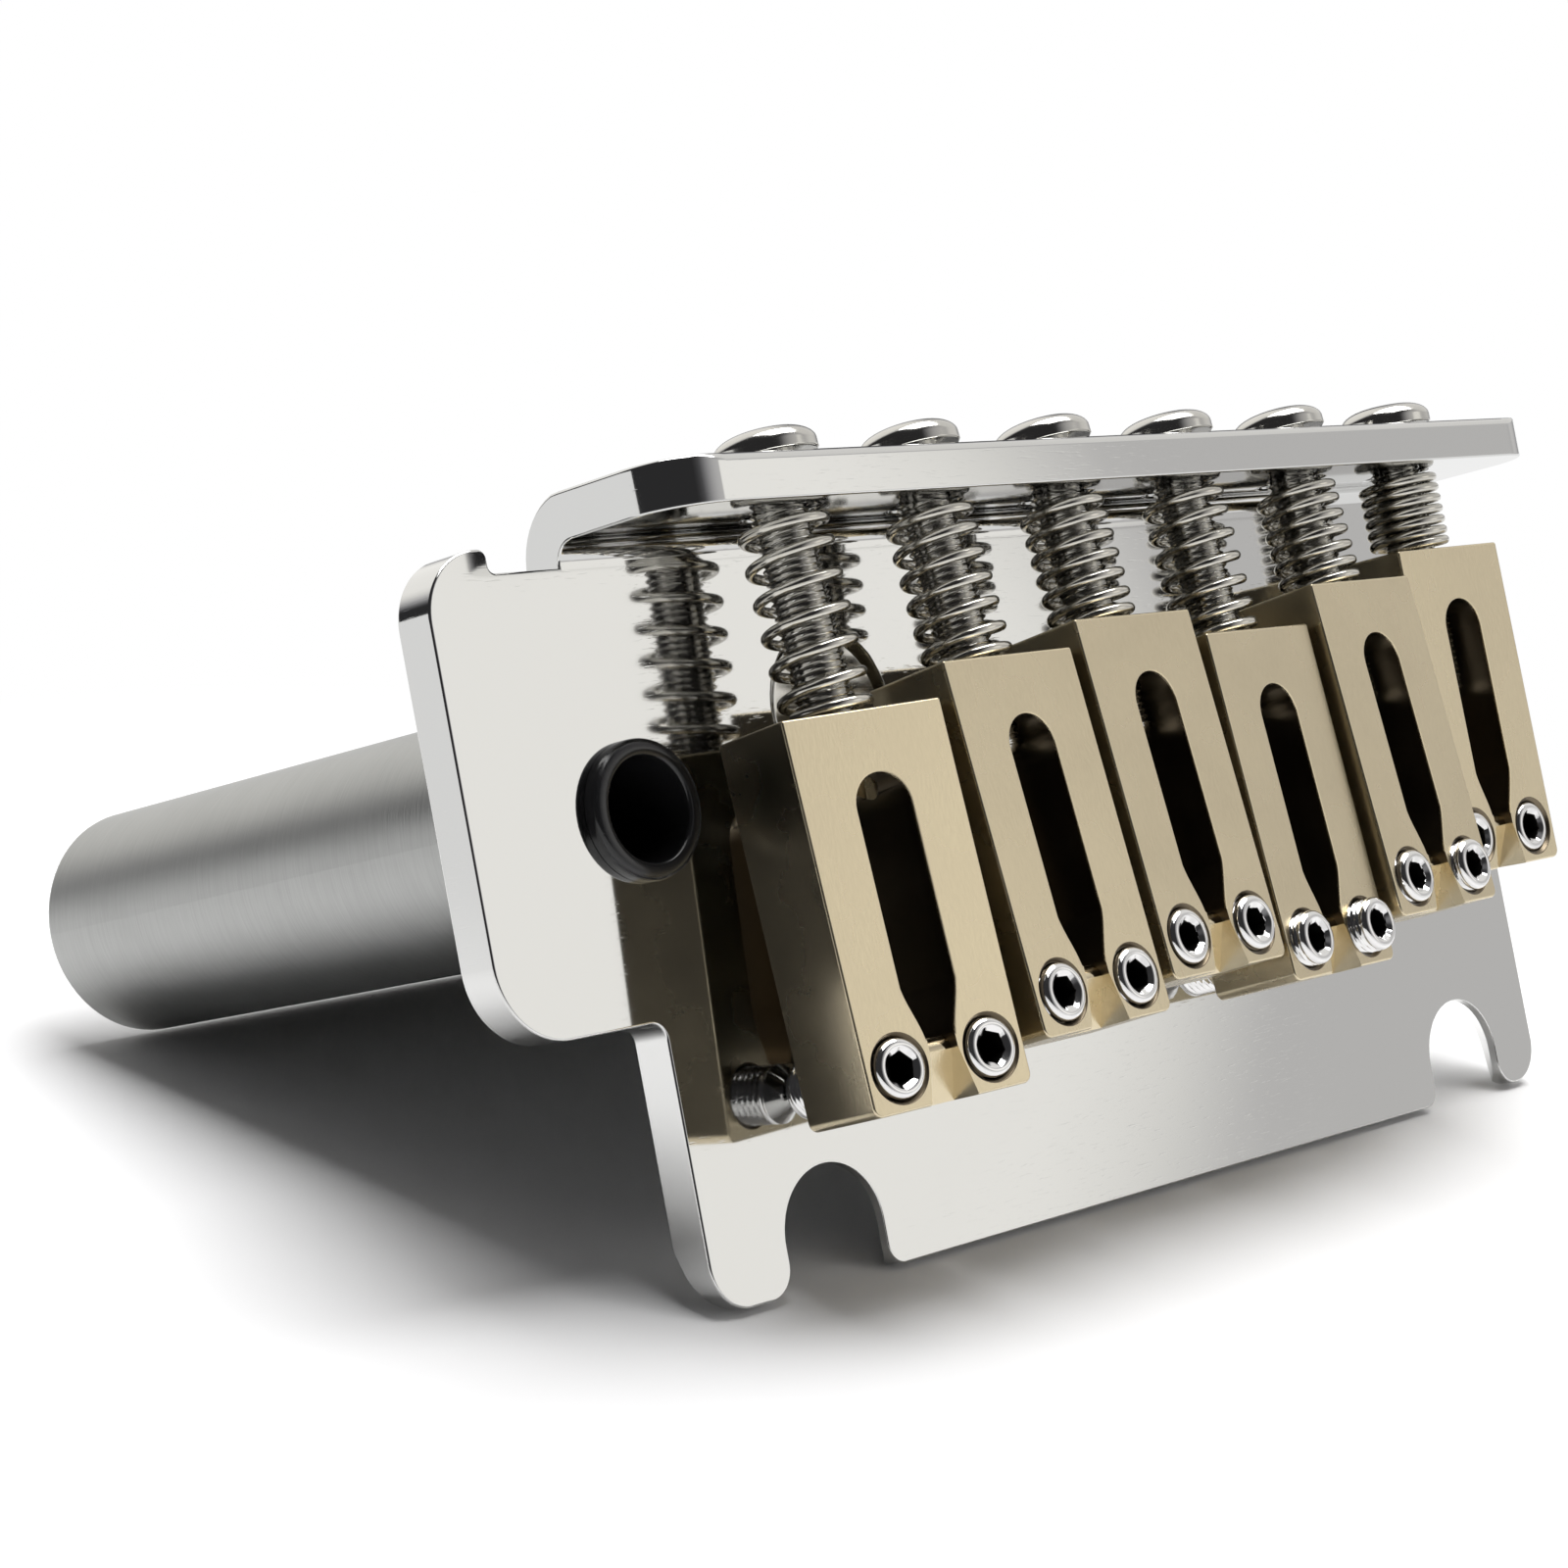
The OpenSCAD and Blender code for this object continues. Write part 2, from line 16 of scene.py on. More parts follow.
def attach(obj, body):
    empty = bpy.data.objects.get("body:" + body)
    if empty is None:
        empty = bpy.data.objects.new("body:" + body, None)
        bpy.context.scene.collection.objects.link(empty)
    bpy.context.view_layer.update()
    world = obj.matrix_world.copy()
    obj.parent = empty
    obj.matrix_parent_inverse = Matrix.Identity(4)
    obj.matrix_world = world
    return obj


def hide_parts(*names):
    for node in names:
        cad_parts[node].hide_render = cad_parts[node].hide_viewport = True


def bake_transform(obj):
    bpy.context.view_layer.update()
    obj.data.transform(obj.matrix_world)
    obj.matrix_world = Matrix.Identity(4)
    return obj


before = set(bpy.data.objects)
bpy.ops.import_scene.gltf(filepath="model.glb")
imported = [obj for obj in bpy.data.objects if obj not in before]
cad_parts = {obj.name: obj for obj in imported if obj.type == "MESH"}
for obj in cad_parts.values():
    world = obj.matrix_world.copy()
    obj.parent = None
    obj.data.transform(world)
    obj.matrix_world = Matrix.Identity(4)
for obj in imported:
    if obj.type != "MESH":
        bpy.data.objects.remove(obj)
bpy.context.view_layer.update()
scene = bpy.context.scene
MM = 0.001

# Camera: looks down the treble side of the plate, with the block pointing away to the left.
# The place and the turn were solved from the notches, the saddles and the flange in the photograph.
CAMERA_PLACE = Vector((-148.62, 15.37, 121.74))
CAMERA_TURN = (12.6975, -43.8559, -14.6913)
LENS, SENSOR = 78.8, 36
NEAREST, FURTHEST = 0.005, 20


def put_object(name, data):
    """A new object in the scene."""
    made = bpy.data.objects.new(name, data)
    scene.collection.objects.link(made)
    return made


camera = put_object("camera", bpy.data.cameras.new("camera"))
camera.data.lens = LENS
camera.data.sensor_width = SENSOR
camera.data.clip_start = NEAREST
camera.data.clip_end = FURTHEST
camera.location = CAMERA_PLACE * MM
camera.rotation_euler = [math.radians(turn) for turn in CAMERA_TURN]
scene.camera = camera
scene.view_settings.view_transform = "Standard"


# Bench top: the bridge lies on its two front tabs and on the lower rim of its block, so the bench
# stands steeply in the row frame. It is seen from above only, and views from below look through it.
# Beyond WHITE_AT it is plain white to the camera and in reflections, as in the photograph.
TAB_TIP = Vector((0, -2.45, -1.0))
BLOCK_RIM = Vector((0, 16.15, -44.05))
BENCH_SIDE = 3.0
BENCH_WHITE = (0.87, 0.87, 0.875, 1)
BENCH_GRAIN, BENCH_DULL = 40, 0.985
WHITE_FROM, WHITE_AT = 50.0, 100.0
WHITE_ROUND = Vector((-10, 8, -18))

bench_up = (BLOCK_RIM - TAB_TIP).cross(Vector((1, 0, 0))).normalized()
if bench_up.y < 0:
    bench_up.negate()
bench_along = Vector((1, 0, 0))
bench_away = bench_up.cross(bench_along)


def shader_tree(name):
    """A new material and its empty node tree."""
    made = bpy.data.materials.new(name)
    made.use_nodes = True
    made.node_tree.nodes.clear()
    return made, made.node_tree


def add_node(tree, kind, inputs=None, **settings):
    """Adds a node. Each input, by name or number, takes a plain value or a link from an output."""
    node = tree.nodes.new(kind)
    for label, value in settings.items():
        setattr(node, label, value)
    for label, value in (inputs or {}).items():
        if isinstance(value, bpy.types.NodeSocket):
            tree.links.new(value, node.inputs[label])
        else:
            node.inputs[label].default_value = value
    return node


def maths(tree, operation, *values):
    """Adds a Math node and returns its output."""
    return add_node(tree, "ShaderNodeMath", dict(enumerate(values)), operation=operation).outputs[0]


def object_place(tree):
    """Adds Object coordinates and returns them."""
    return add_node(tree, "ShaderNodeTexCoord").outputs["Object"]


def noise(tree, vector, **values):
    """Adds a noise texture with named values, such as Scale, and returns its grey output."""
    return add_node(tree, "ShaderNodeTexNoise", {"Vector": vector, **values}).outputs["Fac"]


def map_range(tree, value, source=(0, 1), target=(0, 1), **settings):
    """Adds a Map Range node from one span to another and returns its output."""
    spans = dict(zip(("From Min", "From Max", "To Min", "To Max"), (*source, *target)))
    return add_node(tree, "ShaderNodeMapRange", {"Value": value, **spans}, **settings).outputs["Result"]


def blend_colours(tree, factor, first, second):
    """Adds a mix of two colours and returns the mixed colour."""
    mix = add_node(tree, "ShaderNodeMix", {"Factor": factor, 6: first, 7: second}, data_type="RGBA")
    return mix.outputs[2]


def blend_shaders(tree, factor, first, second):
    """Adds a mix of two shader nodes and returns the mixing node."""
    inputs = {"Fac": factor, 1: first.outputs[0], 2: second.outputs[0]}
    return add_node(tree, "ShaderNodeMixShader", inputs)


def toned(colour, share):
    """The same colour, darker or lighter by a share."""
    return [share * c for c in colour[:3]] + [1]


def bench_material():
    """Matt white card with a faint grain, plain white further out, clear when it is seen from below."""
    made, tree = shader_tree("matt white card")
    place = object_place(tree)
    grain = noise(tree, place, Scale=BENCH_GRAIN)
    tint = blend_colours(tree, grain, BENCH_WHITE, toned(BENCH_WHITE, BENCH_DULL))
    card = add_node(tree, "ShaderNodeBsdfDiffuse", {"Color": tint})
    away = add_node(tree, "ShaderNodeVectorMath", {0: place, 1: WHITE_ROUND * MM}, operation="DISTANCE")
    further = map_range(
        tree, away.outputs["Value"], (WHITE_FROM * MM, WHITE_AT * MM), interpolation_type="SMOOTHSTEP"
    )
    ray = add_node(tree, "ShaderNodeLightPath").outputs
    seen = ray["Is Camera Ray"]
    for kind in ("Is Glossy Ray", "Is Transmission Ray"):
        seen = maths(tree, "MAXIMUM", seen, ray[kind])
    white = add_node(tree, "ShaderNodeEmission")
    top = blend_shaders(tree, maths(tree, "MULTIPLY", seen, further), card, white)
    below = add_node(tree, "ShaderNodeNewGeometry").outputs["Backfacing"]
    sheet = blend_shaders(tree, below, top, add_node(tree, "ShaderNodeBsdfTransparent"))
    add_node(tree, "ShaderNodeOutputMaterial", {"Surface": sheet.outputs["Shader"]})
    return made


def build_bench():
    mesh = bpy.data.meshes.new("bench")
    half = BENCH_SIDE / 2
    corners = [
        TAB_TIP * MM + bench_along * a * half + bench_away * b * half
        for a, b in ((-1, -1), (1, -1), (1, 1), (-1, 1))
    ]
    mesh.from_pydata([tuple(c) for c in corners], [], [(0, 1, 2, 3)])
    mesh.update()
    if mesh.polygons[0].normal.dot(bench_up) < 0:
        mesh.flip_normals()
    bench = put_object("bench", mesh)
    bench.data.materials.append(bench_material())
    return bench


build_bench()


# Studio light: a soft lamp overhead, a bright screen at the front right inside a wider dim one, one
# high at the right and one beyond the bridge, in a dark room. The camera sees plain white instead.
ROOM_LEVEL = 0.035
ROOM_DIM, ROOM_BRIGHT = (0.96, 0.95, 1.0, 1), (1.0, 0.985, 0.95, 1)
SCREENS = (
    {"right": 0.60, "away": -0.72, "up": 0.32, "edge": (0.945, 0.98), "level": 1.18},
    {"right": 0.66, "away": -0.68, "up": 0.24, "edge": (0.50, 0.98), "level": 0.68},
    {"right": 0.75, "away": 0.10, "up": 0.55, "edge": (0.72, 0.93), "level": 0.90},
    {"right": 0.15, "away": 0.88, "up": 0.45, "edge": (0.74, 0.95), "level": 1.15},
)
MAIN_LAMP = {"along": 0.12, "away": 0.10, "up": 0.64, "size": 0.54, "power": 6.4}
LAMP_TARGET = Vector((0, 15, -8))


def build_room():
    world = bpy.data.worlds.new("room")
    scene.world = world
    world.use_nodes = True
    tree = world.node_tree
    tree.nodes.clear()
    way = add_node(tree, "ShaderNodeTexCoord").outputs["Generated"]
    level = ROOM_LEVEL
    for screen in SCREENS:
        centre = bench_along * screen["right"] + bench_away * screen["away"] + bench_up * screen["up"]
        inputs = {0: way, 1: centre.normalized()}
        near = add_node(tree, "ShaderNodeVectorMath", inputs, operation="DOT_PRODUCT").outputs["Value"]
        levels = (ROOM_LEVEL, screen["level"])
        soft = map_range(tree, near, screen["edge"], levels, interpolation_type="SMOOTHSTEP")
        level = maths(tree, "MAXIMUM", soft, level)
    tint = blend_colours(tree, level, ROOM_DIM, ROOM_BRIGHT)
    lit = add_node(tree, "ShaderNodeBackground", {"Color": tint, "Strength": level})
    plain = add_node(tree, "ShaderNodeBackground", {"Color": (1, 1, 1, 1), "Strength": 1})
    seen = add_node(tree, "ShaderNodeLightPath").outputs["Is Camera Ray"]
    both = blend_shaders(tree, seen, lit, plain)
    add_node(tree, "ShaderNodeOutputWorld", {"Surface": both.outputs["Shader"]})


def build_lamp(name, place):
    lamp = put_object(name, bpy.data.lights.new(name, "AREA"))
    lamp.data.shape = "SQUARE"
    lamp.data.size = place["size"]
    lamp.data.energy = place["power"]
    target = LAMP_TARGET * MM
    lamp.location = (
        target + bench_along * place["along"] + bench_away * place["away"] + bench_up * place["up"]
    )
    lamp.rotation_mode = "QUATERNION"
    lamp.rotation_quaternion = (target - lamp.location).to_track_quat("-Z", "Y")


build_room()
build_lamp("main lamp", MAIN_LAMP)


# Base plate: one sheet of steel, stamped out with its holes, bent up at the rear into the flange,
# ground to knife edges round the two pivot notches, then polished and chrome plated.
SHEET = 2.5
EDGE_TREBLE, EDGE_BASS = -36.8, 35.6
FRONT = -2.4
BEND_START, BEND_R = 34.3, 1.2
BEND_RUN = BEND_R * math.pi / 2
FLANGE_H, FLANGE_T, FLANGE_EDGE = 8.9, 2.4, 0.5
FLANGE_TREBLE, FLANGE_CORNER = -38.2, 3.6
WING_EDGE, WING_FRONT, WING_REAR = -46.7, 12.0, 35.5
WING_FRONT_CORNER, WING_REAR_CORNER, WING_ROOT = 4.0, 3.4, 0.9
RELIEF_EDGE, RELIEF_CORNER, RELIEF_HORN = -42.6, 0.4, 0.5
TAB_CORNER, HORN_OUTSIDE, HORN_INSIDE = 2.4, 1.6, 1.1
STUD_HALF, NOTCH_R = 28.0, 3.5
KNIFE, KNIFE_BEVEL = 0.5, 2.0
RIM_AT_NOTCH, RIM_GROWTH, RIM_RUN, REAR_RIM = 0.07, 0.06, 3, 0.2
LIP, LIP_BEVEL = 1.0, 3.8
PITCH = 10.7
STRING_X = [PITCH * (i - 2.5) for i in range(6)]
STRING_HOLE = {"y": 20.0, "r": 1.7}
ARM_X, ARM_Y, ARM_HOLE_R = -35.95, 22.2, 3.18
BLOCK_SCREW_X, BLOCK_SCREW_Y = (-21.4, 0.0, 21.4), 26.0
FLANGE_HOLE_R, SCREW_Z = 1.9, 4.0
SINK_R, SINK_DEPTH, SINK_HOLE_R = 4.4, 2.0, 1.93
CHROME = (0.64, 0.64, 0.63, 1)
SMUDGE_SPAN, HAIR_SPAN = (0.45, 0.75), (0.62, 0.8)
HAIR_TURN, HAIR_STRETCH, WAVE_SCALE = (0.2, 0.1, 0.7), (900, 9000, 900), 120
MARK_DEPTH, POLISH_STRENGTH = 0.00002, 0.25


def rounded_outline(corners, step=6):
    """Closed outline with a fillet at each corner (x, y, radius), one point each `step` degrees."""
    points = []
    count = len(corners)
    for k, (x, y, r) in enumerate(corners):
        corner = Vector((x, y))
        before = (Vector(corners[k - 1][:2]) - corner).normalized()
        after = (Vector(corners[(k + 1) % count][:2]) - corner).normalized()
        half = before.angle(after) / 2
        turn = math.pi - 2 * half
        cut = r / math.tan(half)
        start = corner + before * cut
        centre = corner + (before + after).normalized() * (r / math.sin(half))
        spoke = start - centre
        way = 1 if before.cross(after) < 0 else -1
        parts = max(1, round(math.degrees(turn) / step))
        for part in range(parts + 1):
            points.append(centre + Matrix.Rotation(way * turn * part / parts, 2) @ spoke)
    kept = [p for k, p in enumerate(points) if (p - points[k - 1]).length > 1e-4]
    return kept


def inset(points, distance):
    """The same closed outline, anticlockwise, moved inwards by a distance at each point."""
    moved = []
    count = len(points)
    for k, point in enumerate(points):
        before = (point - points[k - 1]).normalized()
        after = (points[(k + 1) % count] - point).normalized()
        inward = Vector((-before.y - after.y, before.x + after.x)).normalized()
        gap = distance[k] if isinstance(distance, list) else distance
        moved.append(point + inward * gap / max(0.5, inward.dot(Vector((-before.y, before.x)))))
    return moved


def rim_loops(points, low, high, low_r, high_r, steps=4):
    """Loops of a slab's wall from its top face down to its lower face, with both edges rounded."""
    loops = []
    for level, way, radii in ((high, -1, high_r), (low, 1, low_r)):
        for k in range(steps + 1)[::-way]:
            a = math.pi / 2 * k / steps
            inner = inset(points, [r * (1 - math.sin(a)) for r in radii])
            loops.append([(p.x, p.y, level + way * r * (1 - math.cos(a))) for p, r in zip(inner, radii)])
    return loops


def circle(x, y, r, count=48):
    return [
        Vector((x + r * math.cos(math.tau * k / count), y + r * math.sin(math.tau * k / count)))
        for k in range(count)
    ]


def bore_loops(x, y, profile, count=48):
    """Loops of a round hole, from a list of (radius, z) from the top face downwards."""
    return [[(p.x, p.y, z) for p in circle(x, y, r, count)] for r, z in profile]


def chimney(bm, loops, outward):
    """Walls between following loops of the same length; returns the loops' vertices."""
    rows = [[bm.verts.new(co) for co in loop] for loop in loops]
    for upper, lower in zip(rows, rows[1:]):
        count = len(upper)
        for k in range(count):
            ring = (upper[k - 1], lower[k - 1], lower[k], upper[k])
            bm.faces.new(ring if outward else ring[::-1])
    return rows


def cover(bm, outer, holes, up):
    """One flat face with holes, as triangles between the vertices of its loops."""
    loops = [outer] + holes
    flat = [vert for loop in loops for vert in loop]
    for tri in tessellate_polygon([[vert.co for vert in loop] for loop in loops]):
        corners = [flat[k] for k in tri]
        normal = (corners[1].co - corners[0].co).cross(corners[2].co - corners[0].co)
        if normal.length < 1e-9:
            continue
        if (normal.z > 0) != up:
            corners.reverse()
        bm.faces.new(corners)


def slab(bm, wall, bores, pits_below=(), pits_above=()):
    """Solid slab: a wall of loops, bores right through it, and blind pits from either face."""
    rows = chimney(bm, wall, True)
    through, low, high = [
        [chimney(bm, loops, False) for loops in holes] for holes in (bores, pits_below, pits_above)
    ]
    for pit in low:
        bm.faces.new(pit[0][::-1])
    for pit in high:
        bm.faces.new(pit[-1])
    cover(bm, rows[0], [hole[0] for hole in through + high], True)
    cover(bm, rows[-1], [hole[-1] for hole in through + low], False)


def bake_modifiers(piece):
    """Applies a piece's modifiers to its mesh."""
    bpy.context.view_layer.update()
    graph = bpy.context.evaluated_depsgraph_get()
    mesh = bpy.data.meshes.new_from_object(piece.evaluated_get(graph))
    piece.modifiers.clear()
    old, piece.data = piece.data, mesh
    bpy.data.meshes.remove(old)


def solid(name, bm):
    """Turns a working mesh into an object, still in millimetres, with its faces outwards."""
    bmesh.ops.remove_doubles(bm, verts=bm.verts, dist=1e-4)
    bmesh.ops.recalc_face_normals(bm, faces=bm.faces)
    mesh = bpy.data.meshes.new(name)
    bm.to_mesh(mesh)
    bm.free()
    return put_object(name, mesh)


def closed_bar(name, loops):
    """Solid from a row of loops, with a face over each end."""
    bm = bmesh.new()
    rows = chimney(bm, loops, True)
    bm.faces.new(rows[0])
    bm.faces.new(rows[-1][::-1])
    return solid(name, bm)


def cut_away(piece, *cutters):
    """Takes the cutters' volumes out of a piece and removes the cutters."""
    for cutter in cutters:
        tool = piece.modifiers.new("cut", "BOOLEAN")
        tool.object = cutter
        tool.solver = "EXACT"
        bake_modifiers(piece)
        bpy.data.objects.remove(cutter)


def smooth_edges(piece, angle=35):
    """Shades rounded edges smooth, keeps flat faces flat, and leaves sharp corners sharp."""
    bm = bmesh.new()
    bm.from_mesh(piece.data)
    limit = math.radians(angle)
    for face in bm.faces:
        face.smooth = True
    for edge in bm.edges:
        edge.smooth = edge.is_manifold and edge.calc_face_angle(0) < limit
    bm.to_mesh(piece.data)
    bm.free()
    weigh = piece.modifiers.new("face weight", "WEIGHTED_NORMAL")
    weigh.mode = "FACE_AREA"
    weigh.weight = 100
    weigh.keep_sharp = True
    bake_modifiers(piece)


def set_in_place(piece, place=None):
    """Moves a finished mesh to its place in the row frame and turns millimetres into metres."""
    if place is not None:
        piece.data.transform(place)
    piece.data.transform(Matrix.Scale(MM, 4))


BEND_STEPS, BEND_GUARD, BEND_AFTER = 12, 0.5, 0.4
BEND_ROWS = [BEND_START + BEND_RUN * k / BEND_STEPS for k in range(BEND_STEPS + 1)]
BEND_ROWS.append(BEND_START + BEND_RUN + BEND_AFTER)


def sheet_outline():
    """Flat blank of the plate, before it is bent, anticlockwise from the treble tab."""
    top = BEND_START + BEND_RUN + FLANGE_H - BEND_R
    round_end = NOTCH_R - 1e-3
    front = [(EDGE_TREBLE, FRONT, TAB_CORNER)]
    horns = ((-STUD_HALF, HORN_OUTSIDE, HORN_INSIDE), (STUD_HALF, HORN_INSIDE, HORN_OUTSIDE))
    for x, before, after in horns:
        front += [
            (x - NOTCH_R, FRONT, before), (x - NOTCH_R, NOTCH_R, round_end),
            (x + NOTCH_R, NOTCH_R, round_end), (x + NOTCH_R, FRONT, after),
        ]
    bass_side = [(EDGE_BASS, FRONT, TAB_CORNER), (EDGE_BASS, BEND_START - BEND_GUARD, 0)]
    bass_side += [(EDGE_BASS, row, 0) for row in BEND_ROWS]
    treble_side = [(FLANGE_TREBLE, row, 0) for row in reversed(BEND_ROWS)]
    wing = [
        (FLANGE_TREBLE - BEND_GUARD, BEND_START, 0), (RELIEF_EDGE, BEND_START, RELIEF_CORNER),
        (RELIEF_EDGE, WING_REAR, RELIEF_HORN), (WING_EDGE, WING_REAR, WING_REAR_CORNER),
        (WING_EDGE, WING_FRONT, WING_FRONT_CORNER), (EDGE_TREBLE, WING_FRONT, WING_ROOT),
    ]
    flange = [(EDGE_BASS, top, FLANGE_CORNER), (FLANGE_TREBLE, top, FLANGE_CORNER)]
    return rounded_outline(front + bass_side + flange + treble_side + wing, 5)


def bend(point):
    """Place of a point of the blank once its rear is bent up and the flange is ground thin behind."""
    x, s, z = point
    if s <= BEND_START or x < RELIEF_EDGE + 1:
        return Vector((x, s, z))
    turn = min((s - BEND_START) / BEND_RUN, 1) * math.pi / 2
    sheet = min(SHEET, (BEND_R + FLANGE_T) / max(math.sin(turn), 0.01) - BEND_R)
    radius = BEND_R - z * sheet / SHEET
    straight = max(0, s - BEND_START - BEND_RUN)
    return Vector((x, BEND_START + radius * math.sin(turn), BEND_R - radius * math.cos(turn) + straight))


def nearest(points, x, y):
    return min(range(len(points)), key=lambda k: (points[k] - Vector((x, y))).length)


def cover_sheet(bm, ring, rows, flat_holes, flange_holes, up):
    """Face of the blank in three parts: flat plate, narrow strips across the bend, and flange."""
    (first_left, first_right), (last_left, last_right) = rows[0], rows[-1]
    cover(bm, ring[first_left:] + ring[:first_right + 1], flat_holes, up)
    cover(bm, ring[last_right:last_left + 1], flange_holes, up)
    for (left, right), (left_on, right_on) in zip(rows, rows[1:]):
        strip = (ring[left], ring[right], ring[right_on], ring[left_on])
        bm.faces.new(strip if up else strip[::-1])


def plain_bore(r, rim=0.25):
    """Radii and depths of a hole through the sheet with broken edges."""
    return [
        (r + rim, 0), (r + rim * 0.3, -rim * 0.3), (r, -rim), (r, rim - SHEET),
        (r + rim * 0.3, rim * 0.3 - SHEET), (r + rim, -SHEET),
    ]


def stud_cutters():
    """Bevels under the sheet: the knife edge round each notch, and the ground front lip."""
    cutters = []
    deep = SHEET + 1
    wide, thin = NOTCH_R + KNIFE_BEVEL, NOTCH_R - KNIFE
    for x in (-STUD_HALF, STUD_HALF):
        cone = bore_loops(x, 0, [(thin, 0), (wide, -SHEET), (wide, -deep)], 72)
        cutters.append(closed_bar("knife cone", cone))
        profile = [(-wide, -deep), (wide, -deep), (wide, -SHEET), (thin, 0), (-thin, 0), (-wide, -SHEET)]
        bevel = [[(x + a, y, z) for a, z in profile] for y in (0, FRONT - 1)]
        cutters.append(closed_bar("knife bevel", bevel))
    lip_end = FRONT + LIP_BEVEL
    profile = [(FRONT - 1, -deep), (lip_end, -deep), (lip_end, -SHEET), (FRONT, -LIP), (FRONT - 1, -LIP)]
    lip = [[(x, y, z) for y, z in profile] for x in (EDGE_TREBLE - 1, EDGE_BASS + 1)]
    cutters.append(closed_bar("lip bevel", lip))
    return cutters


def build_plate():
    blank = sheet_outline()
    lefts = [(FLANGE_TREBLE - BEND_GUARD, BEND_START)] + [(FLANGE_TREBLE, row) for row in BEND_ROWS]
    rights = [(EDGE_BASS, BEND_START - BEND_GUARD)] + [(EDGE_BASS, row) for row in BEND_ROWS]
    rows = [(nearest(blank, *a), nearest(blank, *b)) for a, b in zip(lefts, rights)]
    near = [min((p - Vector((x, 0))).length for x in (-STUD_HALF, STUD_HALF)) for p in blank]
    soft = [RIM_AT_NOTCH + RIM_GROWTH * min(1, max(0, (gap - NOTCH_R) / RIM_RUN)) for gap in near]
    top = max(p.y for p in blank)
    rear = [max(REAR_RIM, FLANGE_EDGE - (top - p.y)) for p in blank]
    wall = rim_loops(blank, -SHEET, 0, rear, soft, 5)
    bm = bmesh.new()
    ring = chimney(bm, wall, True)
    drilled = [(x, STRING_HOLE["y"], plain_bore(STRING_HOLE["r"])) for x in STRING_X]
    drilled.append((ARM_X, ARM_Y, plain_bore(ARM_HOLE_R, 0.2)))
    sunk = [(SINK_R, 0), (SINK_R - 0.13, -0.05), (SINK_HOLE_R, -SINK_DEPTH), (SINK_HOLE_R, -SHEET)]
    drilled += [(x, BLOCK_SCREW_Y, sunk) for x in BLOCK_SCREW_X]
    flat_holes = [chimney(bm, bore_loops(*hole), False) for hole in drilled]
    hole_row = BEND_START + BEND_RUN + SCREW_Z - BEND_R
    flange_holes = [
        chimney(bm, bore_loops(x, hole_row, plain_bore(FLANGE_HOLE_R)), False) for x in STRING_X
    ]
    for end, up in ((0, True), (-1, False)):
        cover_sheet(
            bm, ring[end], rows, [hole[end] for hole in flat_holes],
            [hole[end] for hole in flange_holes], up,
        )
    for vert in bm.verts:
        vert.co = bend(vert.co)
    plate = solid("chromed_plate", bm)
    cut_away(plate, *stud_cutters())
    smooth_edges(plate)
    set_in_place(plate)
    return plate


def node_group(name, kind, given, made):
    """A new node group with its inputs and outputs, each a label with its kind of socket."""
    group = bpy.data.node_groups.new(name, kind)
    for way, sockets in (("INPUT", given), ("OUTPUT", made)):
        for label, sort in sockets.items():
            group.interface.new_socket(label, in_out=way, socket_type="NodeSocket" + sort)
    return group


def stretched(tree, vector, scale, turn=(0, 0, 0)):
    """Adds a Mapping node and returns its output."""
    inputs = {"Vector": vector, "Rotation": turn, "Scale": scale}
    return add_node(tree, "ShaderNodeMapping", inputs).outputs["Vector"]


def marks_group():
    """Handling marks for polished and satin metal: faint smudges, hairlines and a slow waviness."""
    levels = dict.fromkeys(("Scale", "Roughness", "Smudge", "Hairline"), "Float")
    made = {"Roughness": "Float", "Height": "Float"}
    group = node_group("handling marks", "ShaderNodeTree", levels, made)
    given = add_node(group, "NodeGroupInput").outputs
    place = object_place(group)
    smudge = noise(group, place, Scale=given["Scale"], Detail=4, Roughness=0.6)
    patch = map_range(group, smudge, SMUDGE_SPAN)
    hair = noise(group, stretched(group, place, HAIR_STRETCH, HAIR_TURN), Scale=1, Detail=2)
    cut = maths(group, "MULTIPLY", map_range(group, hair, HAIR_SPAN), given["Hairline"])
    wave = noise(group, place, Scale=WAVE_SCALE, Detail=0)
    add_node(group, "NodeGroupOutput", {
        "Roughness": maths(group, "MULTIPLY_ADD", patch, given["Smudge"], given["Roughness"]),
        "Height": maths(group, "SUBTRACT", wave, cut),
    })
    return group


MARKS = marks_group()


def coat(made, look, height, strength, depth):
    """Ends a material in a Principled surface with the inputs in `look` and a low relief."""
    tree = made.node_tree
    relief = add_node(tree, "ShaderNodeBump", {"Strength": strength, "Distance": depth, "Height": height})
    skin = add_node(tree, "ShaderNodeBsdfPrincipled", {**look, "Normal": relief.outputs["Normal"]})
    add_node(tree, "ShaderNodeOutputMaterial", {"Surface": skin.outputs["BSDF"]})
    return made


def marked(name, look, strength, **levels):
    """A material whose roughness and low relief come from the handling marks at the given levels."""
    made, tree = shader_tree(name)
    inputs = {label.title(): level for label, level in levels.items()}
    marks = add_node(tree, "ShaderNodeGroup", inputs, node_tree=MARKS).outputs
    return coat(made, {**look, "Roughness": marks["Roughness"]}, marks["Height"], strength, MARK_DEPTH)


def polished_metal(name, colour, scale=60, roughness=0.05, smudge=0.05, hairline=0.3):
    """Bright metal in one colour, with handling marks in a very low relief."""
    levels = {"scale": scale, "roughness": roughness, "smudge": smudge, "hairline": hairline}
    return marked(name, {"Base Color": colour, "Metallic": 1}, POLISH_STRENGTH, **levels)


plate = build_plate()
plate.data.materials.append(polished_metal("mirror chrome", CHROME))
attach(plate, "bridge")
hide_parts("base_plate")


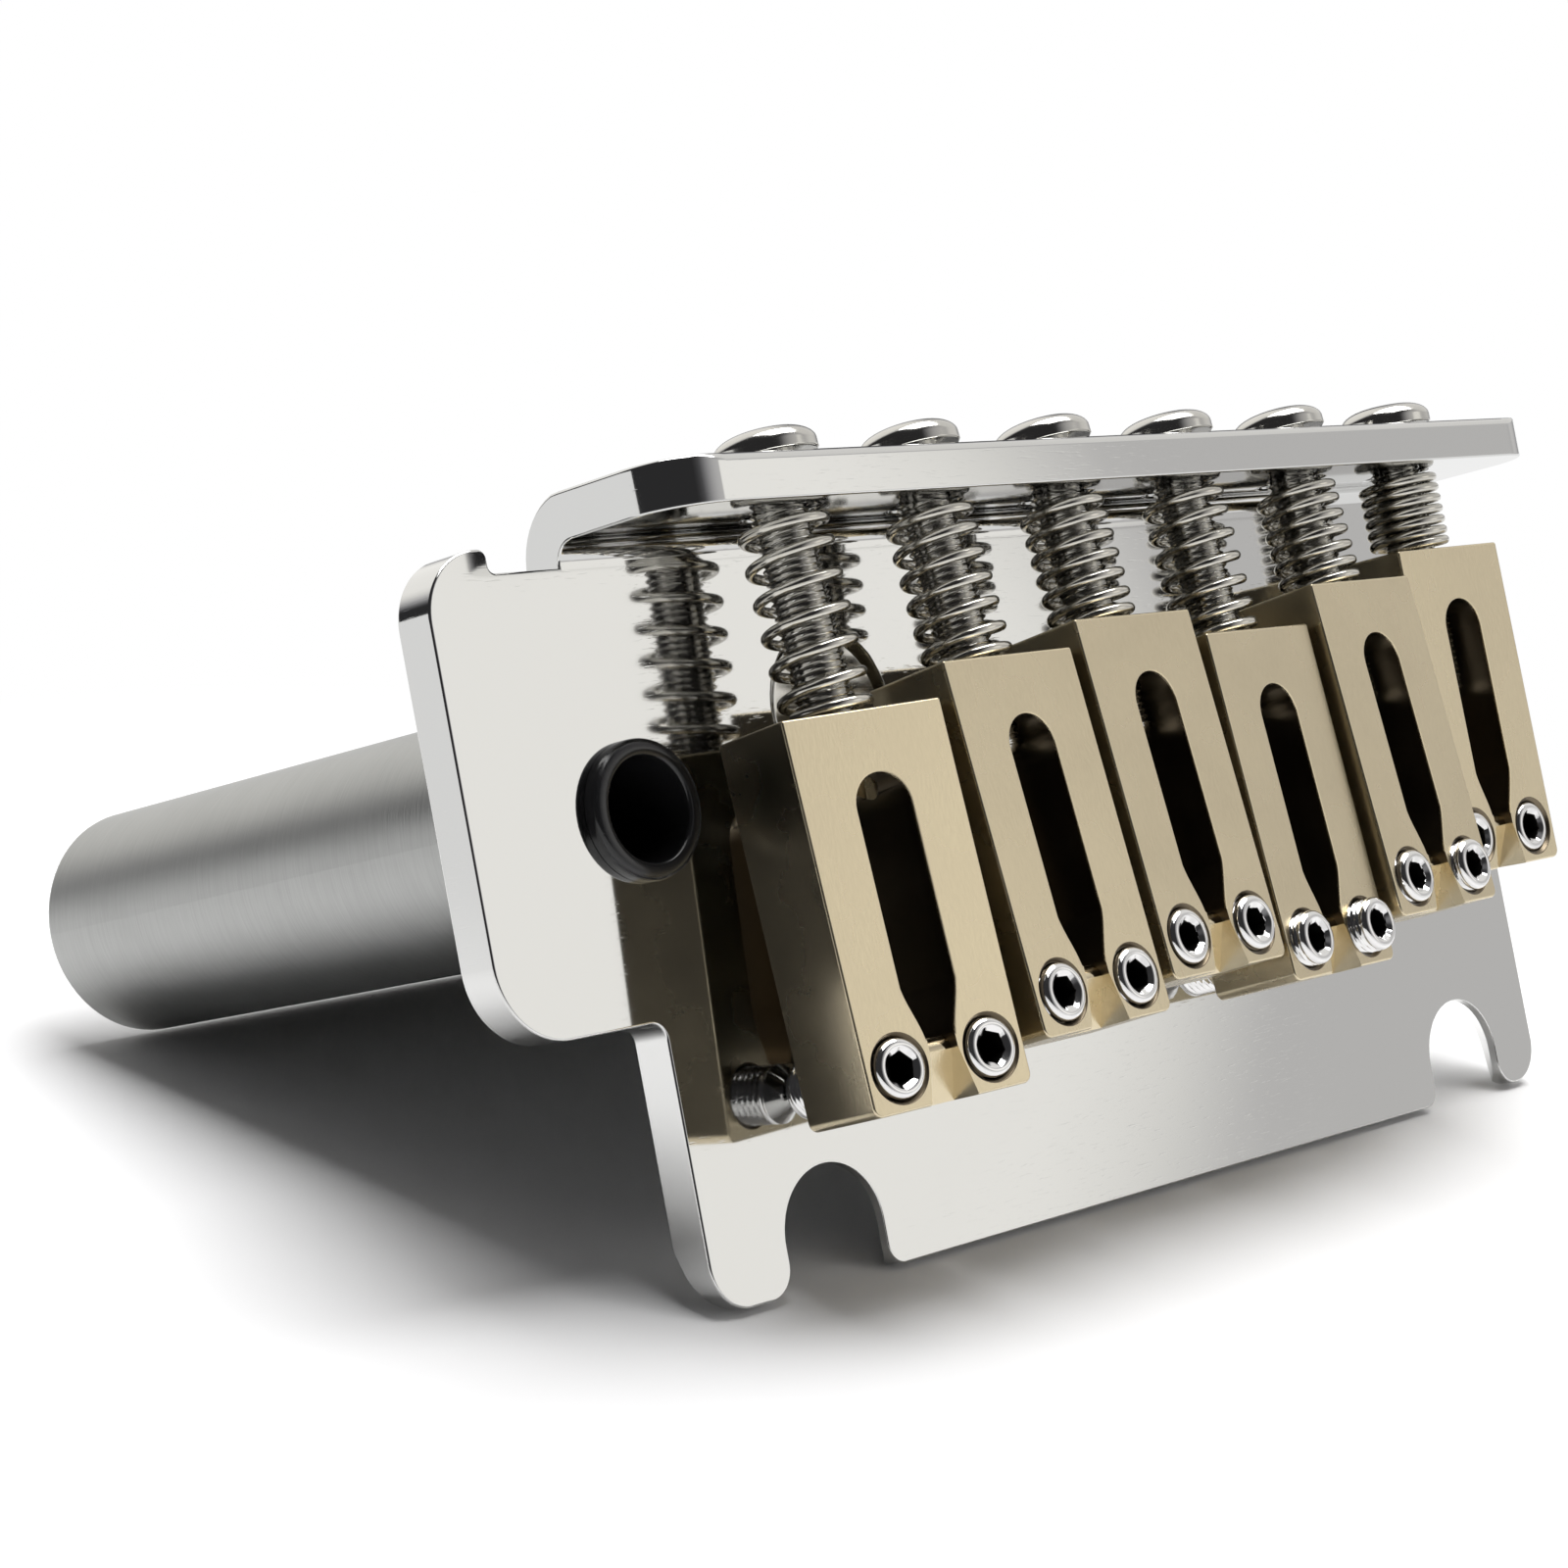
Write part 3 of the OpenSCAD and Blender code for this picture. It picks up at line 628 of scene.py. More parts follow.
# Sustain block: solid bar of steel with half-round ends, satin ground along its length. It hangs under
# the plate on three screws. The six string holes widen into pockets from below.
BLOCK_ENDS, BLOCK_Y, BLOCK_HALF = (-41.5, 33.05), 22.5, 6.3
BLOCK_TOP, BLOCK_FOOT = -SHEET, -44.0
STRING_BORE, BALL_POCKET, POCKET_TOP = 1.1, 2.3, -24.0
CLAW_HOLE = {"y": 26.0, "r": 1.2, "top": -36.0}
CLAW_X = [PITCH * k for k in (-2, -1, 0, 1, 2)]
BUSHING_PIT = (3.18, -14.06)
SCREW_PIT = (1.9, -14.33)
BLOCK_RIM_TOP, BLOCK_RIM_FOOT = 0.25, 0.5
DRILL_RIM, POCKET_RIM, DRILL_TIP = 0.2, 0.25, 0.6
STEEL = (0.375, 0.378, 0.37, 1)
GRIND_STRETCH, GRIND_STRENGTH, GRIND_DEPTH = (400, 400, 14000), 0.35, 0.00003
PATCH_SCALE, STEEL_TONES, STEEL_ROUGHNESS = 180, (0.86, 1.14), (0.32, 0.44)


def build_block():
    low_y, high_y = BLOCK_Y - BLOCK_HALF, BLOCK_Y + BLOCK_HALF
    (left, right), r = BLOCK_ENDS, BLOCK_HALF - 1e-3
    corners = [(left, low_y, r), (right, low_y, r), (right, high_y, r), (left, high_y, r)]
    bar = rounded_outline(corners, 4)
    foot_rim, top_rim = [BLOCK_RIM_FOOT] * len(bar), [BLOCK_RIM_TOP] * len(bar)
    wall = rim_loops(bar, BLOCK_FOOT, BLOCK_TOP, foot_rim, top_rim, 5)
    bores = [
        bore_loops(x, STRING_HOLE["y"], [
            (STRING_BORE + DRILL_RIM, BLOCK_TOP), (STRING_BORE, BLOCK_TOP - DRILL_RIM),
            (STRING_BORE, POCKET_TOP), (BALL_POCKET, POCKET_TOP),
            (BALL_POCKET, BLOCK_FOOT + POCKET_RIM), (BALL_POCKET + POCKET_RIM, BLOCK_FOOT),
        ])
        for x in STRING_X
    ]
    claw_r, claw_top = CLAW_HOLE["r"], CLAW_HOLE["top"]
    claws = [
        bore_loops(x, CLAW_HOLE["y"], [
            (claw_r * 0.1, claw_top), (claw_r, claw_top - DRILL_TIP),
            (claw_r, BLOCK_FOOT + DRILL_RIM), (claw_r + DRILL_RIM, BLOCK_FOOT),
        ], 32)
        for x in CLAW_X
    ]
    pits = [bore_loops(x, BLOCK_SCREW_Y, [(SCREW_PIT[0], BLOCK_TOP), SCREW_PIT]) for x in BLOCK_SCREW_X]
    pits.append(bore_loops(ARM_X, ARM_Y, [(BUSHING_PIT[0], BLOCK_TOP), BUSHING_PIT]))
    bm = bmesh.new()
    slab(bm, wall, bores, claws, pits)
    block = solid("ground_block", bm)
    smooth_edges(block)
    set_in_place(block)
    return block


def ground_steel():
    """Satin steel with fine grinding lines round the block, brighter and duller in soft patches."""
    made, tree = shader_tree("satin ground steel")
    place = object_place(tree)
    lines = noise(tree, stretched(tree, place, GRIND_STRETCH), Scale=1, Detail=3)
    patches = noise(tree, place, Scale=PATCH_SCALE, Detail=3)
    look = {
        "Base Color": blend_colours(tree, lines, *[toned(STEEL, share) for share in STEEL_TONES]),
        "Roughness": map_range(tree, patches, target=STEEL_ROUGHNESS),
        "Metallic": 1,
    }
    return coat(made, look, lines, GRIND_STRENGTH, GRIND_DEPTH)


block = build_block()
block.data.materials.append(ground_steel())
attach(block, "bridge")
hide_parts("sustain_block")


# Arm bushing: black acetal sleeve pressed through the wing into the block, its bore open for the arm.
# A low collar with a rounded shoulder stands on the plate.
BUSHING_R, BUSHING_BORE = 3.15, 2.6
BUSHING_LOW, COLLAR_LOW, COLLAR_TOP, COLLAR_R = -14.0, 0.03, 0.9, 3.5
BLACK, ACETAL_IOR = (0.012, 0.012, 0.013, 1), 1.48


def lathe(profile, count=64, closed=False):
    """Working mesh of a turned piece about Z, from a list of (radius, z); a closed list makes a tube."""
    bm = bmesh.new()
    rows = []
    for r, z in profile:
        if r < 1e-6:
            rows.append([bm.verts.new((0, 0, z))])
        else:
            rows.append([bm.verts.new((p.x, p.y, z)) for p in circle(0, 0, r, count)])
    for one, two in zip(rows, rows[1:] + rows[:1] if closed else rows[1:]):
        for k in range(count):
            if len(one) == 1:
                bm.faces.new((one[0], two[k - 1], two[k]))
            elif len(two) == 1:
                bm.faces.new((one[k], one[k - 1], two[0]))
            else:
                bm.faces.new((one[k], one[k - 1], two[k - 1], two[k]))
    return bm


def rounded_profile(corners, steps=5):
    """Open outline of a turned piece with a fillet of radius r at each corner (radius, z, r)."""
    points = []
    for k, (a, b, r) in enumerate(corners):
        corner = Vector((a, b))
        if r == 0 or k in (0, len(corners) - 1):
            points.append((a, b))
            continue
        before = (Vector(corners[k - 1][:2]) - corner).normalized()
        after = (Vector(corners[k + 1][:2]) - corner).normalized()
        half = before.angle(after) / 2
        reach = r / math.tan(half)
        first, last = corner + before * reach, corner + after * reach
        for part in range(steps + 1):
            t = part / steps
            curve = first * (1 - t) ** 2 + corner * 2 * t * (1 - t) + last * t ** 2
            points.append((curve.x, curve.y))
    return points


sleeve = solid("arm_sleeve", lathe(
    [(BUSHING_R - 0.3, BUSHING_LOW), (BUSHING_R, BUSHING_LOW + 0.3), (BUSHING_R, COLLAR_LOW)]
    + rounded_profile([
        (COLLAR_R, COLLAR_LOW, 0), (COLLAR_R, COLLAR_TOP, 0.5), (BUSHING_BORE, COLLAR_TOP, 0.3),
        (BUSHING_BORE, 0, 0),
    ], 6)
    + [(BUSHING_BORE, BUSHING_LOW + 0.2), (BUSHING_BORE + 0.2, BUSHING_LOW)], closed=True
))
smooth_edges(sleeve)
set_in_place(sleeve, Matrix.Translation((ARM_X, ARM_Y, 0)))
sleeve.data.materials.append(marked(
    "black acetal", {"Base Color": BLACK, "IOR": ACETAL_IOR},
    strength=0.3, scale=300, roughness=0.18, smudge=0.15, hairline=0.6,
))
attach(sleeve, "bridge")
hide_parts("arm_bushing")


# Block screws: three countersunk steel screws with a cross recess, threaded into the block.
# Their heads lie just below the top of the plate, partly hidden by the saddles.
SUNK_TOP, SUNK_R, SUNK_H = -0.3, 3.87, 1.7
SUNK_SHANK, SUNK_END = 1.87, -14.3
SUNK_THREAD, SUNK_PITCH = 0.28, 0.7
SUNK_CROSS, SUNK_TURNS = (2.34, 0.8, 1.19), (20, 65, -10)
THREAD_CREST, THREAD_STEEP = 0.12, 1.2
BRIGHT_STEEL = (0.56, 0.55, 0.52, 1)


def cross_cutter(arm, width, depth, top):
    """Cross-shaped cutter that narrows downwards; its mouth stands just above `top`."""
    loops = []
    for z, reach, half in (
        (top + 0.3, arm * 1.12, width * 0.56), (top - depth * 0.75, arm * 0.62, width * 0.42),
        (top - depth, width * 0.5, width * 0.36),
    ):
        ring = []
        for quarter in range(4):
            turn = Matrix.Rotation(quarter * math.pi / 2, 2)
            ring += [turn @ Vector(p) for p in ((reach, -half), (reach, half), (half, half))]
        loops.append([(p.x, p.y, z) for p in ring])
    return closed_bar("cross cutter", loops)


def joined(tree, x, y, z):
    """Adds a Combine XYZ node and returns its output."""
    return add_node(tree, "ShaderNodeCombineXYZ", {0: x, 1: y, 2: z}).outputs[0]


def end_shape(tree, shape, material):
    """Ends a Geometry Nodes tree: instances made real, then painted with a material."""
    real = add_node(tree, "GeometryNodeRealizeInstances", {"Geometry": shape}).outputs["Geometry"]
    paint = add_node(tree, "GeometryNodeSetMaterial", {"Geometry": real, "Material": material})
    add_node(tree, "NodeGroupOutput", {"Geometry": paint.outputs["Geometry"]})


def thread_tree():
    """Node tree that cuts a helical V groove into the smooth wall of a screw standing on Z."""
    sizes = dict.fromkeys(("Radius", "Depth", "Pitch", "Start", "End"), "Float")
    sockets = {"Geometry": "Geometry", **sizes, "Material": "Material"}
    tree = node_group("cut thread", "GeometryNodeTree", sockets, {"Geometry": "Geometry"})
    given = add_node(tree, "NodeGroupInput").outputs
    calc = partial(maths, tree)
    place = add_node(tree, "GeometryNodeInputPosition").outputs[0]
    x, y, z = add_node(tree, "ShaderNodeSeparateXYZ", {0: place}).outputs
    radius = calc("SQRT", calc("ADD", calc("MULTIPLY", x, x), calc("MULTIPLY", y, y)))
    angle = calc("DIVIDE", calc("ARCTAN2", y, x), math.tau)
    phase = calc("FRACT", calc("SUBTRACT", calc("DIVIDE", z, given["Pitch"]), angle))
    valley = calc("SUBTRACT", 1, calc("ABSOLUTE", calc("MULTIPLY_ADD", phase, 2, -1)))
    valley = calc("MULTIPLY", calc("MAXIMUM", 0, calc("SUBTRACT", valley, THREAD_CREST)), THREAD_STEEP)
    low = calc("DIVIDE", calc("SUBTRACT", z, given["Start"]), given["Pitch"])
    high = calc("DIVIDE", calc("SUBTRACT", given["End"], z), given["Pitch"])
    fade = calc("MAXIMUM", 0, calc("MINIMUM", 1, calc("MINIMUM", low, high)))
    cut = calc("MULTIPLY", calc("MULTIPLY", calc("MINIMUM", 1, valley), fade), given["Depth"])
    scale = calc("SUBTRACT", 1, calc("DIVIDE", cut, calc("MAXIMUM", radius, 1e-6)))
    put = add_node(tree, "GeometryNodeSetPosition", {
        "Geometry": given["Geometry"],
        "Selection": calc("GREATER_THAN", radius, calc("SUBTRACT", given["Radius"], 0.01)),
        "Position": joined(tree, calc("MULTIPLY", x, scale), calc("MULTIPLY", y, scale), z),
    })
    end_shape(tree, put.outputs["Geometry"], given["Material"])
    return tree


def run_tree(piece, tree, **values):
    """Runs a node tree on a piece with named values and keeps the result as its mesh."""
    shape = piece.modifiers.new(tree.name, "NODES")
    shape.node_group = tree
    sockets = {item.name: item.identifier for item in tree.interface.items_tree if item.in_out == "INPUT"}
    for label, value in values.items():
        shape[sockets[label]] = value
    bake_modifiers(piece)


def even_steps(low, high, step):
    count = max(1, round((high - low) / step))
    return [low + (high - low) * k / count for k in range(count + 1)]


def copies(first, names):
    """The first piece and its copies, one for each name."""
    first.name = names[0]
    return [first] + [put_object(name, first.data.copy()) for name in names[1:]]


THREAD = thread_tree()
chrome_bright = polished_metal(
    "polished steel screw", BRIGHT_STEEL, scale=400, roughness=0.12, smudge=0.08
)

profile = [(0, SUNK_TOP), (SUNK_R - 0.15, SUNK_TOP), (SUNK_R, SUNK_TOP - 0.1)]
profile += [(SUNK_SHANK, z) for z in even_steps(SUNK_END + 0.6, SUNK_TOP - SUNK_H, 0.12)[::-1]]
profile += [(SUNK_SHANK - 0.6, SUNK_END), (0, SUNK_END)]
sunk_screw = solid("countersunk_screw_1", lathe(profile, 40))
run_tree(
    sunk_screw, THREAD, Radius=SUNK_SHANK, Depth=SUNK_THREAD, Pitch=SUNK_PITCH,
    Start=SUNK_END + 0.4, End=SUNK_TOP - SUNK_H - 0.4, Material=chrome_bright,
)
cut_away(sunk_screw, cross_cutter(*SUNK_CROSS, SUNK_TOP))
smooth_edges(sunk_screw, 45)
for k, piece in enumerate(copies(sunk_screw, ["countersunk_screw_%d" % k for k in (1, 2, 3)])):
    turn = Matrix.Rotation(math.radians(SUNK_TURNS[k]), 4, "Z")
    set_in_place(piece, Matrix.Translation((BLOCK_SCREW_X[k], BLOCK_SCREW_Y, 0)) @ turn)
    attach(piece, "bridge")
    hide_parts("block_screw_%d" % (k + 1))


# Saddles: six equal blocks, ground square and plated in a satin champagne tone. Each has a long slot,
# a neck between its two height screws, and a string ramp that falls to the front face.
SADDLE_W, SADDLE_L, SADDLE_H = 10.0, 19.5, 5.4
SADDLE_WALL, SLOT_W, TAPER = 3.2, 3.4, 5.8
CREST_Y, CREST_R, CREST_DROP = 2.5, 0.7, 0.5
NECK_W, FLARE_W, RAMP_DROP = 1.8, 3.0, 1.5
REACH = (11.75, 10.05, 8.65, 10.05, 7.95, 6.15)
TILT = (4.0, 6.4, 6.3, 4.7, 5.5, 0.5)
ROLL = (8.0, 0.0, -1.5, -3.0, -1.5, 1.5)
PIVOT_Y = BEND_START + BEND_R + FLANGE_T / 2
GRUB_GAP, GRUB_Y, GRUB_R = 5.8, 2.1, 1.5
TAPPED_R, SCREW_R = 1.55, 1.5
CORNER_R, REAR_CORNER_R, SADDLE_RIM = 0.5, 0.15, 0.12
CHAMPAGNE = (0.64, 0.555, 0.39, 1)
CHAMPAGNE_TONES, SATIN_ROUGHNESS, CREST_ROUGHNESS = (0.9, 1.1), (0.22, 0.32), 0.1
SATIN_STRETCH, CLOUD_SCALE = (7000, 1800, 7000), 220
GRAIN_STRENGTH, SATIN_DEPTH, CREST_DEPTH = 0.4, 0.000012, 0.000004
# Dark brown painted on the walls of the slot and the screw bores: painted shade for these recesses.
SLOT_PAINTED_SHADE = (0.16, 0.13, 0.09, 1)


def string_place(i):
    """Place of string i's frame: the origin on its screw's pivot, -Y along the screw to the front."""
    return (
        Matrix.Translation((STRING_X[i], PIVOT_Y, SCREW_Z))
        @ Matrix.Rotation(math.radians(-TILT[i]), 4, "X")
        @ Matrix.Rotation(math.radians(-ROLL[i]), 4, "Y")
    )


def slot_loops():
    """Loops of the slot through the saddle, with a round rear end, a neck and broken edges."""
    rear, half = -SADDLE_WALL - SLOT_W / 2, SLOT_W / 2
    neck_y, taper_y = CREST_Y + CREST_R - SADDLE_L, TAPER - SADDLE_L
    points = [
        Vector((half * math.cos(a), rear + half * math.sin(a)))
        for a in [math.pi * k / 20 for k in range(21)]
    ]
    for side in (-1, 1):
        path = []
        for k in range(9):
            t = k / 8
            ease = t * t * (3 - 2 * t)
            reach = half + (NECK_W / 2 - half) * (0.45 * ease + 0.55 * t)
            path.append(Vector((side * reach, taper_y + (neck_y - taper_y) * t)))
        points += path if side < 0 else path[::-1]
    high, low, rim = SADDLE_H / 2, -SADDLE_H / 2, SADDLE_RIM
    return [
        [(p.x, p.y, z) for p in inset(points, -gap)]
        for gap, z in ((rim, high), (0.035, high - 0.035), (0, high - rim), (0, low + rim), (rim, low))
    ]


def ramp_cutter():
    """Volume cut away over the string ramp: flared in plan, with a rounded crest."""
    front, top, over = -SADDLE_L, SADDLE_H / 2 - CREST_DROP, 4
    crest, neck = front + CREST_Y, NECK_W / 2 - 0.004
    rows = [(front - 1, FLARE_W / 2, top - RAMP_DROP), (front, FLARE_W / 2, top - RAMP_DROP)]
    for k in range(9):
        a = math.radians(80 * k / 8)
        rows.append((crest + CREST_R * math.sin(a), neck, top - CREST_R * (1 - math.cos(a))))
    rows.append((crest + CREST_R + 0.6, neck, top - CREST_R))
    loops = [[(-w, y, over), (-w, y, z), (w, y, z), (w, y, over)] for y, w, z in rows]
    return closed_bar("ramp cutter", loops)


def tap_cutter():
    """Volume of the intonation screw's hole, with a slight countersink at the rear face."""
    bm = lathe([(0, -0.5), (TAPPED_R + 0.7, -0.5), (TAPPED_R, 0.2), (TAPPED_R, 4.6), (0, 4.6)], 40)
    cutter = solid("tap cutter", bm)
    cutter.data.transform(Matrix.Rotation(math.pi / 2, 4, "X"))
    return cutter


def saddle_materials():
    """Satin champagne plating, the same plating polished where a string runs, and a painted-shade brown."""
    made = {"Tone": "Color", "Roughness": "Float", "Height": "Float"}
    grain = node_group("satin grain", "ShaderNodeTree", {}, made)
    place = object_place(grain)
    fine = noise(grain, stretched(grain, place, SATIN_STRETCH), Scale=1, Detail=3)
    cloud = noise(grain, place, Scale=CLOUD_SCALE, Detail=4)
    mixed = maths(grain, "MULTIPLY_ADD", fine, 0.5, maths(grain, "MULTIPLY", cloud, 0.5))
    add_node(grain, "NodeGroupOutput", {
        "Tone": blend_colours(grain, mixed, *[toned(CHAMPAGNE, share) for share in CHAMPAGNE_TONES]),
        "Roughness": map_range(grain, cloud, target=SATIN_ROUGHNESS),
        "Height": fine,
    })
    materials = []
    for name, rough, depth in (
        ("satin champagne plating", None, SATIN_DEPTH),
        ("polished champagne plating", CREST_ROUGHNESS, CREST_DEPTH),
    ):
        material, tree = shader_tree(name)
        satin = add_node(tree, "ShaderNodeGroup", node_tree=grain).outputs
        look = {"Base Color": satin["Tone"], "Roughness": rough or satin["Roughness"], "Metallic": 1}
        materials.append(coat(material, look, satin["Height"], GRAIN_STRENGTH, depth))
    # A dark brown for the walls of the slot and the bores: painted shade, not a different plating.
    materials.append(polished_metal(
        "painted shade in slot and bores", SLOT_PAINTED_SHADE, scale=200, roughness=0.3, smudge=0.1, hairline=0.1
    ))
    return materials


def build_saddle():
    """One saddle in its own frame: the rear face at y = 0, the front face at -SADDLE_L."""
    half, high, low = SADDLE_W / 2, SADDLE_H / 2, -SADDLE_H / 2
    front = [(-half, -SADDLE_L, CORNER_R), (half, -SADDLE_L, CORNER_R)]
    edge = rounded_outline(front + [(half, 0, REAR_CORNER_R), (-half, 0, REAR_CORNER_R)], 11)
    rim = [SADDLE_RIM] * len(edge)
    wall = rim_loops(edge, low, high, rim, rim, 3)
    hole = [
        (TAPPED_R + 0.22, high), (TAPPED_R + 0.17, high - 0.03), (TAPPED_R, high - 0.2),
        (TAPPED_R, low + 0.15), (TAPPED_R + 0.15, low),
    ]
    bores = [bore_loops(side * GRUB_GAP / 2, GRUB_Y - SADDLE_L, hole, 40) for side in (-1, 1)]
    bm = bmesh.new()
    slab(bm, wall, bores + [slot_loops()])
    made = solid("saddle", bm)
    cut_away(made, ramp_cutter(), tap_cutter())
    smooth_edges(made)
    for material in saddle_materials():
        made.data.materials.append(material)
    floor = high - CREST_DROP
    for face in made.data.polygons:
        x, y, z = face.center
        on_ramp = abs(x) < NECK_W / 2 + 0.1 and CREST_Y - 0.02 < y + SADDLE_L < CREST_Y + CREST_R + 0.05
        if on_ramp and floor - CREST_R - 0.05 < z < floor + 0.02 and face.normal.z > 0.1:
            face.material_index = 1
        # Walls of the slot and of the screw bores take the dark brown: painted shade where the recesses lie
        # in shade.
        in_slot = abs(x) < SLOT_W / 2 + 0.02 and CREST_Y - SADDLE_L < y < -SADDLE_WALL + 0.02
        at_bore = abs(math.hypot(abs(x) - GRUB_GAP / 2, y + SADDLE_L - GRUB_Y) - TAPPED_R) < 0.21
        inside = in_slot and abs(face.normal.z) < 0.3 and abs(z) < high - 0.1
        if inside or at_bore and z < high - 0.01:
            face.material_index = 2
    return made


for i, piece in enumerate(copies(build_saddle(), ["champagne_saddle_%d" % k for k in range(1, 7)])):
    set_in_place(piece, string_place(i) @ Matrix.Translation((0, -REACH[i], 0)))
    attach(piece, "saddle_%d" % (i + 1))
    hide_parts("saddle_%d" % (i + 1))


# Height screws: headless socket screws, two in each saddle, chrome plated, with a cone point that
# stands just over the plate and a hexagon socket in a chamfered end.
GRUB_L, BASS_LIFT = (8.2, 9.7, 9.5, 9.5, 9.3, 6.7), (0.8, 0, 0, 0, 0, 0)
POINT_R, TIP_GAP = 0.9, 0.3
SOCKET_W, SOCKET_D, GRUB_FACETS = 1.5, 2.0, 60
FINE_PITCH, FINE_DEPTH = 0.35, 0.19
GRUB_TURN, GRUB_TURN_APART = 37, 11
# The socket's near-black colour is painted shade in the deep hexagon hole of a chromed screw.
GRUB_CHROME, SOCKET_PAINTED_SHADE = (0.74, 0.735, 0.73, 1), (0.03, 0.028, 0.026, 1)


def hexagon(flats, z, count=GRUB_FACETS):
    """Points of a hexagon, as many as a circle's, so that a round rim joins it row by row."""
    ring = []
    for k in range(count):
        a = math.tau * k / count
        r = flats / 2 / math.cos((a + math.pi / 6) % (math.pi / 3) - math.pi / 6)
        ring.append((r * math.cos(a), r * math.sin(a), z))
    return ring


grub_chrome = polished_metal("plated grub screw", GRUB_CHROME, scale=500, roughness=0.09, smudge=0.08)
# Near-black for the walls of the hexagon socket: painted shade in the hole.
socket_painted_shade = polished_metal(
    "painted shade in the socket", SOCKET_PAINTED_SHADE, scale=500, roughness=0.5, smudge=0.1, hairline=0.1
)


def build_grub(length):
    """Height screw standing on its point at the origin."""
    outside = [(POINT_R, 0), (GRUB_R, GRUB_R - POINT_R)]
    outside += [(GRUB_R, z) for z in even_steps(GRUB_R - POINT_R, length - 0.32, 0.05)[1:]]
    outside += [(GRUB_R - 0.04, length - 0.18), (GRUB_R - 0.13, length - 0.06), (GRUB_R - 0.27, length)]
    outside += [(SOCKET_W / 2 + 0.36, length), (SOCKET_W / 2 + 0.26, length - 0.04)]
    loops = bore_loops(0, 0, outside, GRUB_FACETS)
    loops += [hexagon(SOCKET_W + 0.02, length - 0.2), hexagon(SOCKET_W, length - 0.3)]
    loops += [hexagon(SOCKET_W, length - SOCKET_D)]
    bm = bmesh.new()
    rows = chimney(bm, loops, False)
    low, deep = bm.verts.new((0, 0, 0)), bm.verts.new((0, 0, length - SOCKET_D - 0.35))
    for k in range(GRUB_FACETS):
        bm.faces.new((rows[0][k - 1], rows[0][k], low))
        bm.faces.new((rows[-1][k], rows[-1][k - 1], deep))
    made = solid("grub screw", bm)
    run_tree(
        made, THREAD, Radius=GRUB_R, Depth=FINE_DEPTH, Pitch=FINE_PITCH, Start=0.7,
        End=length - 0.3, Material=grub_chrome,
    )
    smooth_edges(made, 50)
    made.data.materials.append(socket_painted_shade)
    # Walls of the hexagon socket take the near-black: painted shade inside the hole.
    for face in made.data.polygons:
        x, y, z = face.center
        if x * x + y * y < (SOCKET_W / 2 + 0.12) ** 2 and length - SOCKET_D - 0.4 < z < length - 0.25:
            face.material_index = len(made.data.materials) - 1
    return made


def tip_depth(i, side):
    """Depth of a height screw's point below its screw axis, so that it stands just over the plate."""
    tilt, roll = math.radians(TILT[i]), math.radians(ROLL[i])
    arm = REACH[i] + SADDLE_L - GRUB_Y
    level = math.cos(roll) * math.cos(tilt)
    lift = side * GRUB_GAP / 2 * math.sin(roll) * math.cos(tilt)
    rise = SCREW_Z - TIP_GAP + arm * math.sin(tilt) + lift
    depth = (rise - POINT_R * math.sqrt(1 - level * level)) / level
    return depth - (BASS_LIFT[i] if side > 0 else 0)


for i in range(6):
    names = ["socket_screw_%d_%s" % (i + 1, word) for word in ("treble", "bass")]
    pair = copies(build_grub(GRUB_L[i]), names)
    for piece, side, word in zip(pair, (-1, 1), ("treble", "bass")):
        stand = Matrix.Translation((side * GRUB_GAP / 2, GRUB_Y - SADDLE_L - REACH[i], -tip_depth(i, side)))
        turn = Matrix.Rotation(math.radians(GRUB_TURN * i + GRUB_TURN_APART * side), 4, "Z")
        set_in_place(piece, string_place(i) @ stand @ turn)
        node = "height_screw_%d_%s" % (i + 1, word)
        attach(piece, node)
        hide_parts(node)


# Intonation screws: domed heads with a cross recess behind the flange, threaded along the shank up to
# the tip. Each one draws its saddle against its spring.
SEAT = FLANGE_T / 2 + 0.42
HEAD_R, HEAD_H, HEAD_EDGE, HEAD_FLAT = 2.7, 1.4, 0.5, 1.1
HEAD_CROSS = (HEAD_R * 0.55, 0.62, HEAD_H * 0.65)
SCREW_L = 16.5
DOME_STEPS, FIRST_TURN, NEXT_TURN = 12, 15, 53


def build_pan_screw():
    """Intonation screw along Z: the head on z = 0 and above, the shank below it."""
    rise, run = HEAD_H - HEAD_EDGE, HEAD_R - HEAD_FLAT
    dome = [
        (HEAD_FLAT + run * math.cos(a), HEAD_EDGE + rise * math.sin(a))
        for a in [math.pi / 2 * k / DOME_STEPS for k in range(DOME_STEPS + 1)]
    ]
    profile = [(0, HEAD_H)] + dome[::-1] + [(HEAD_R, 0.12), (HEAD_R - 0.12, 0), (SCREW_R, 0)]
    profile += [(SCREW_R, z) for z in even_steps(-SCREW_L + 0.35, -0.2, 0.05)[::-1]]
    profile += [(SCREW_R - 0.3, -SCREW_L), (0, -SCREW_L)]
    made = solid("pan screw", lathe(profile, 48))
    run_tree(
        made, THREAD, Radius=SCREW_R, Depth=FINE_DEPTH, Pitch=FINE_PITCH, Start=0.25 - SCREW_L,
        End=-0.9, Material=chrome_bright,
    )
    cut_away(made, cross_cutter(*HEAD_CROSS, HEAD_H))
    smooth_edges(made, 50)
    return made


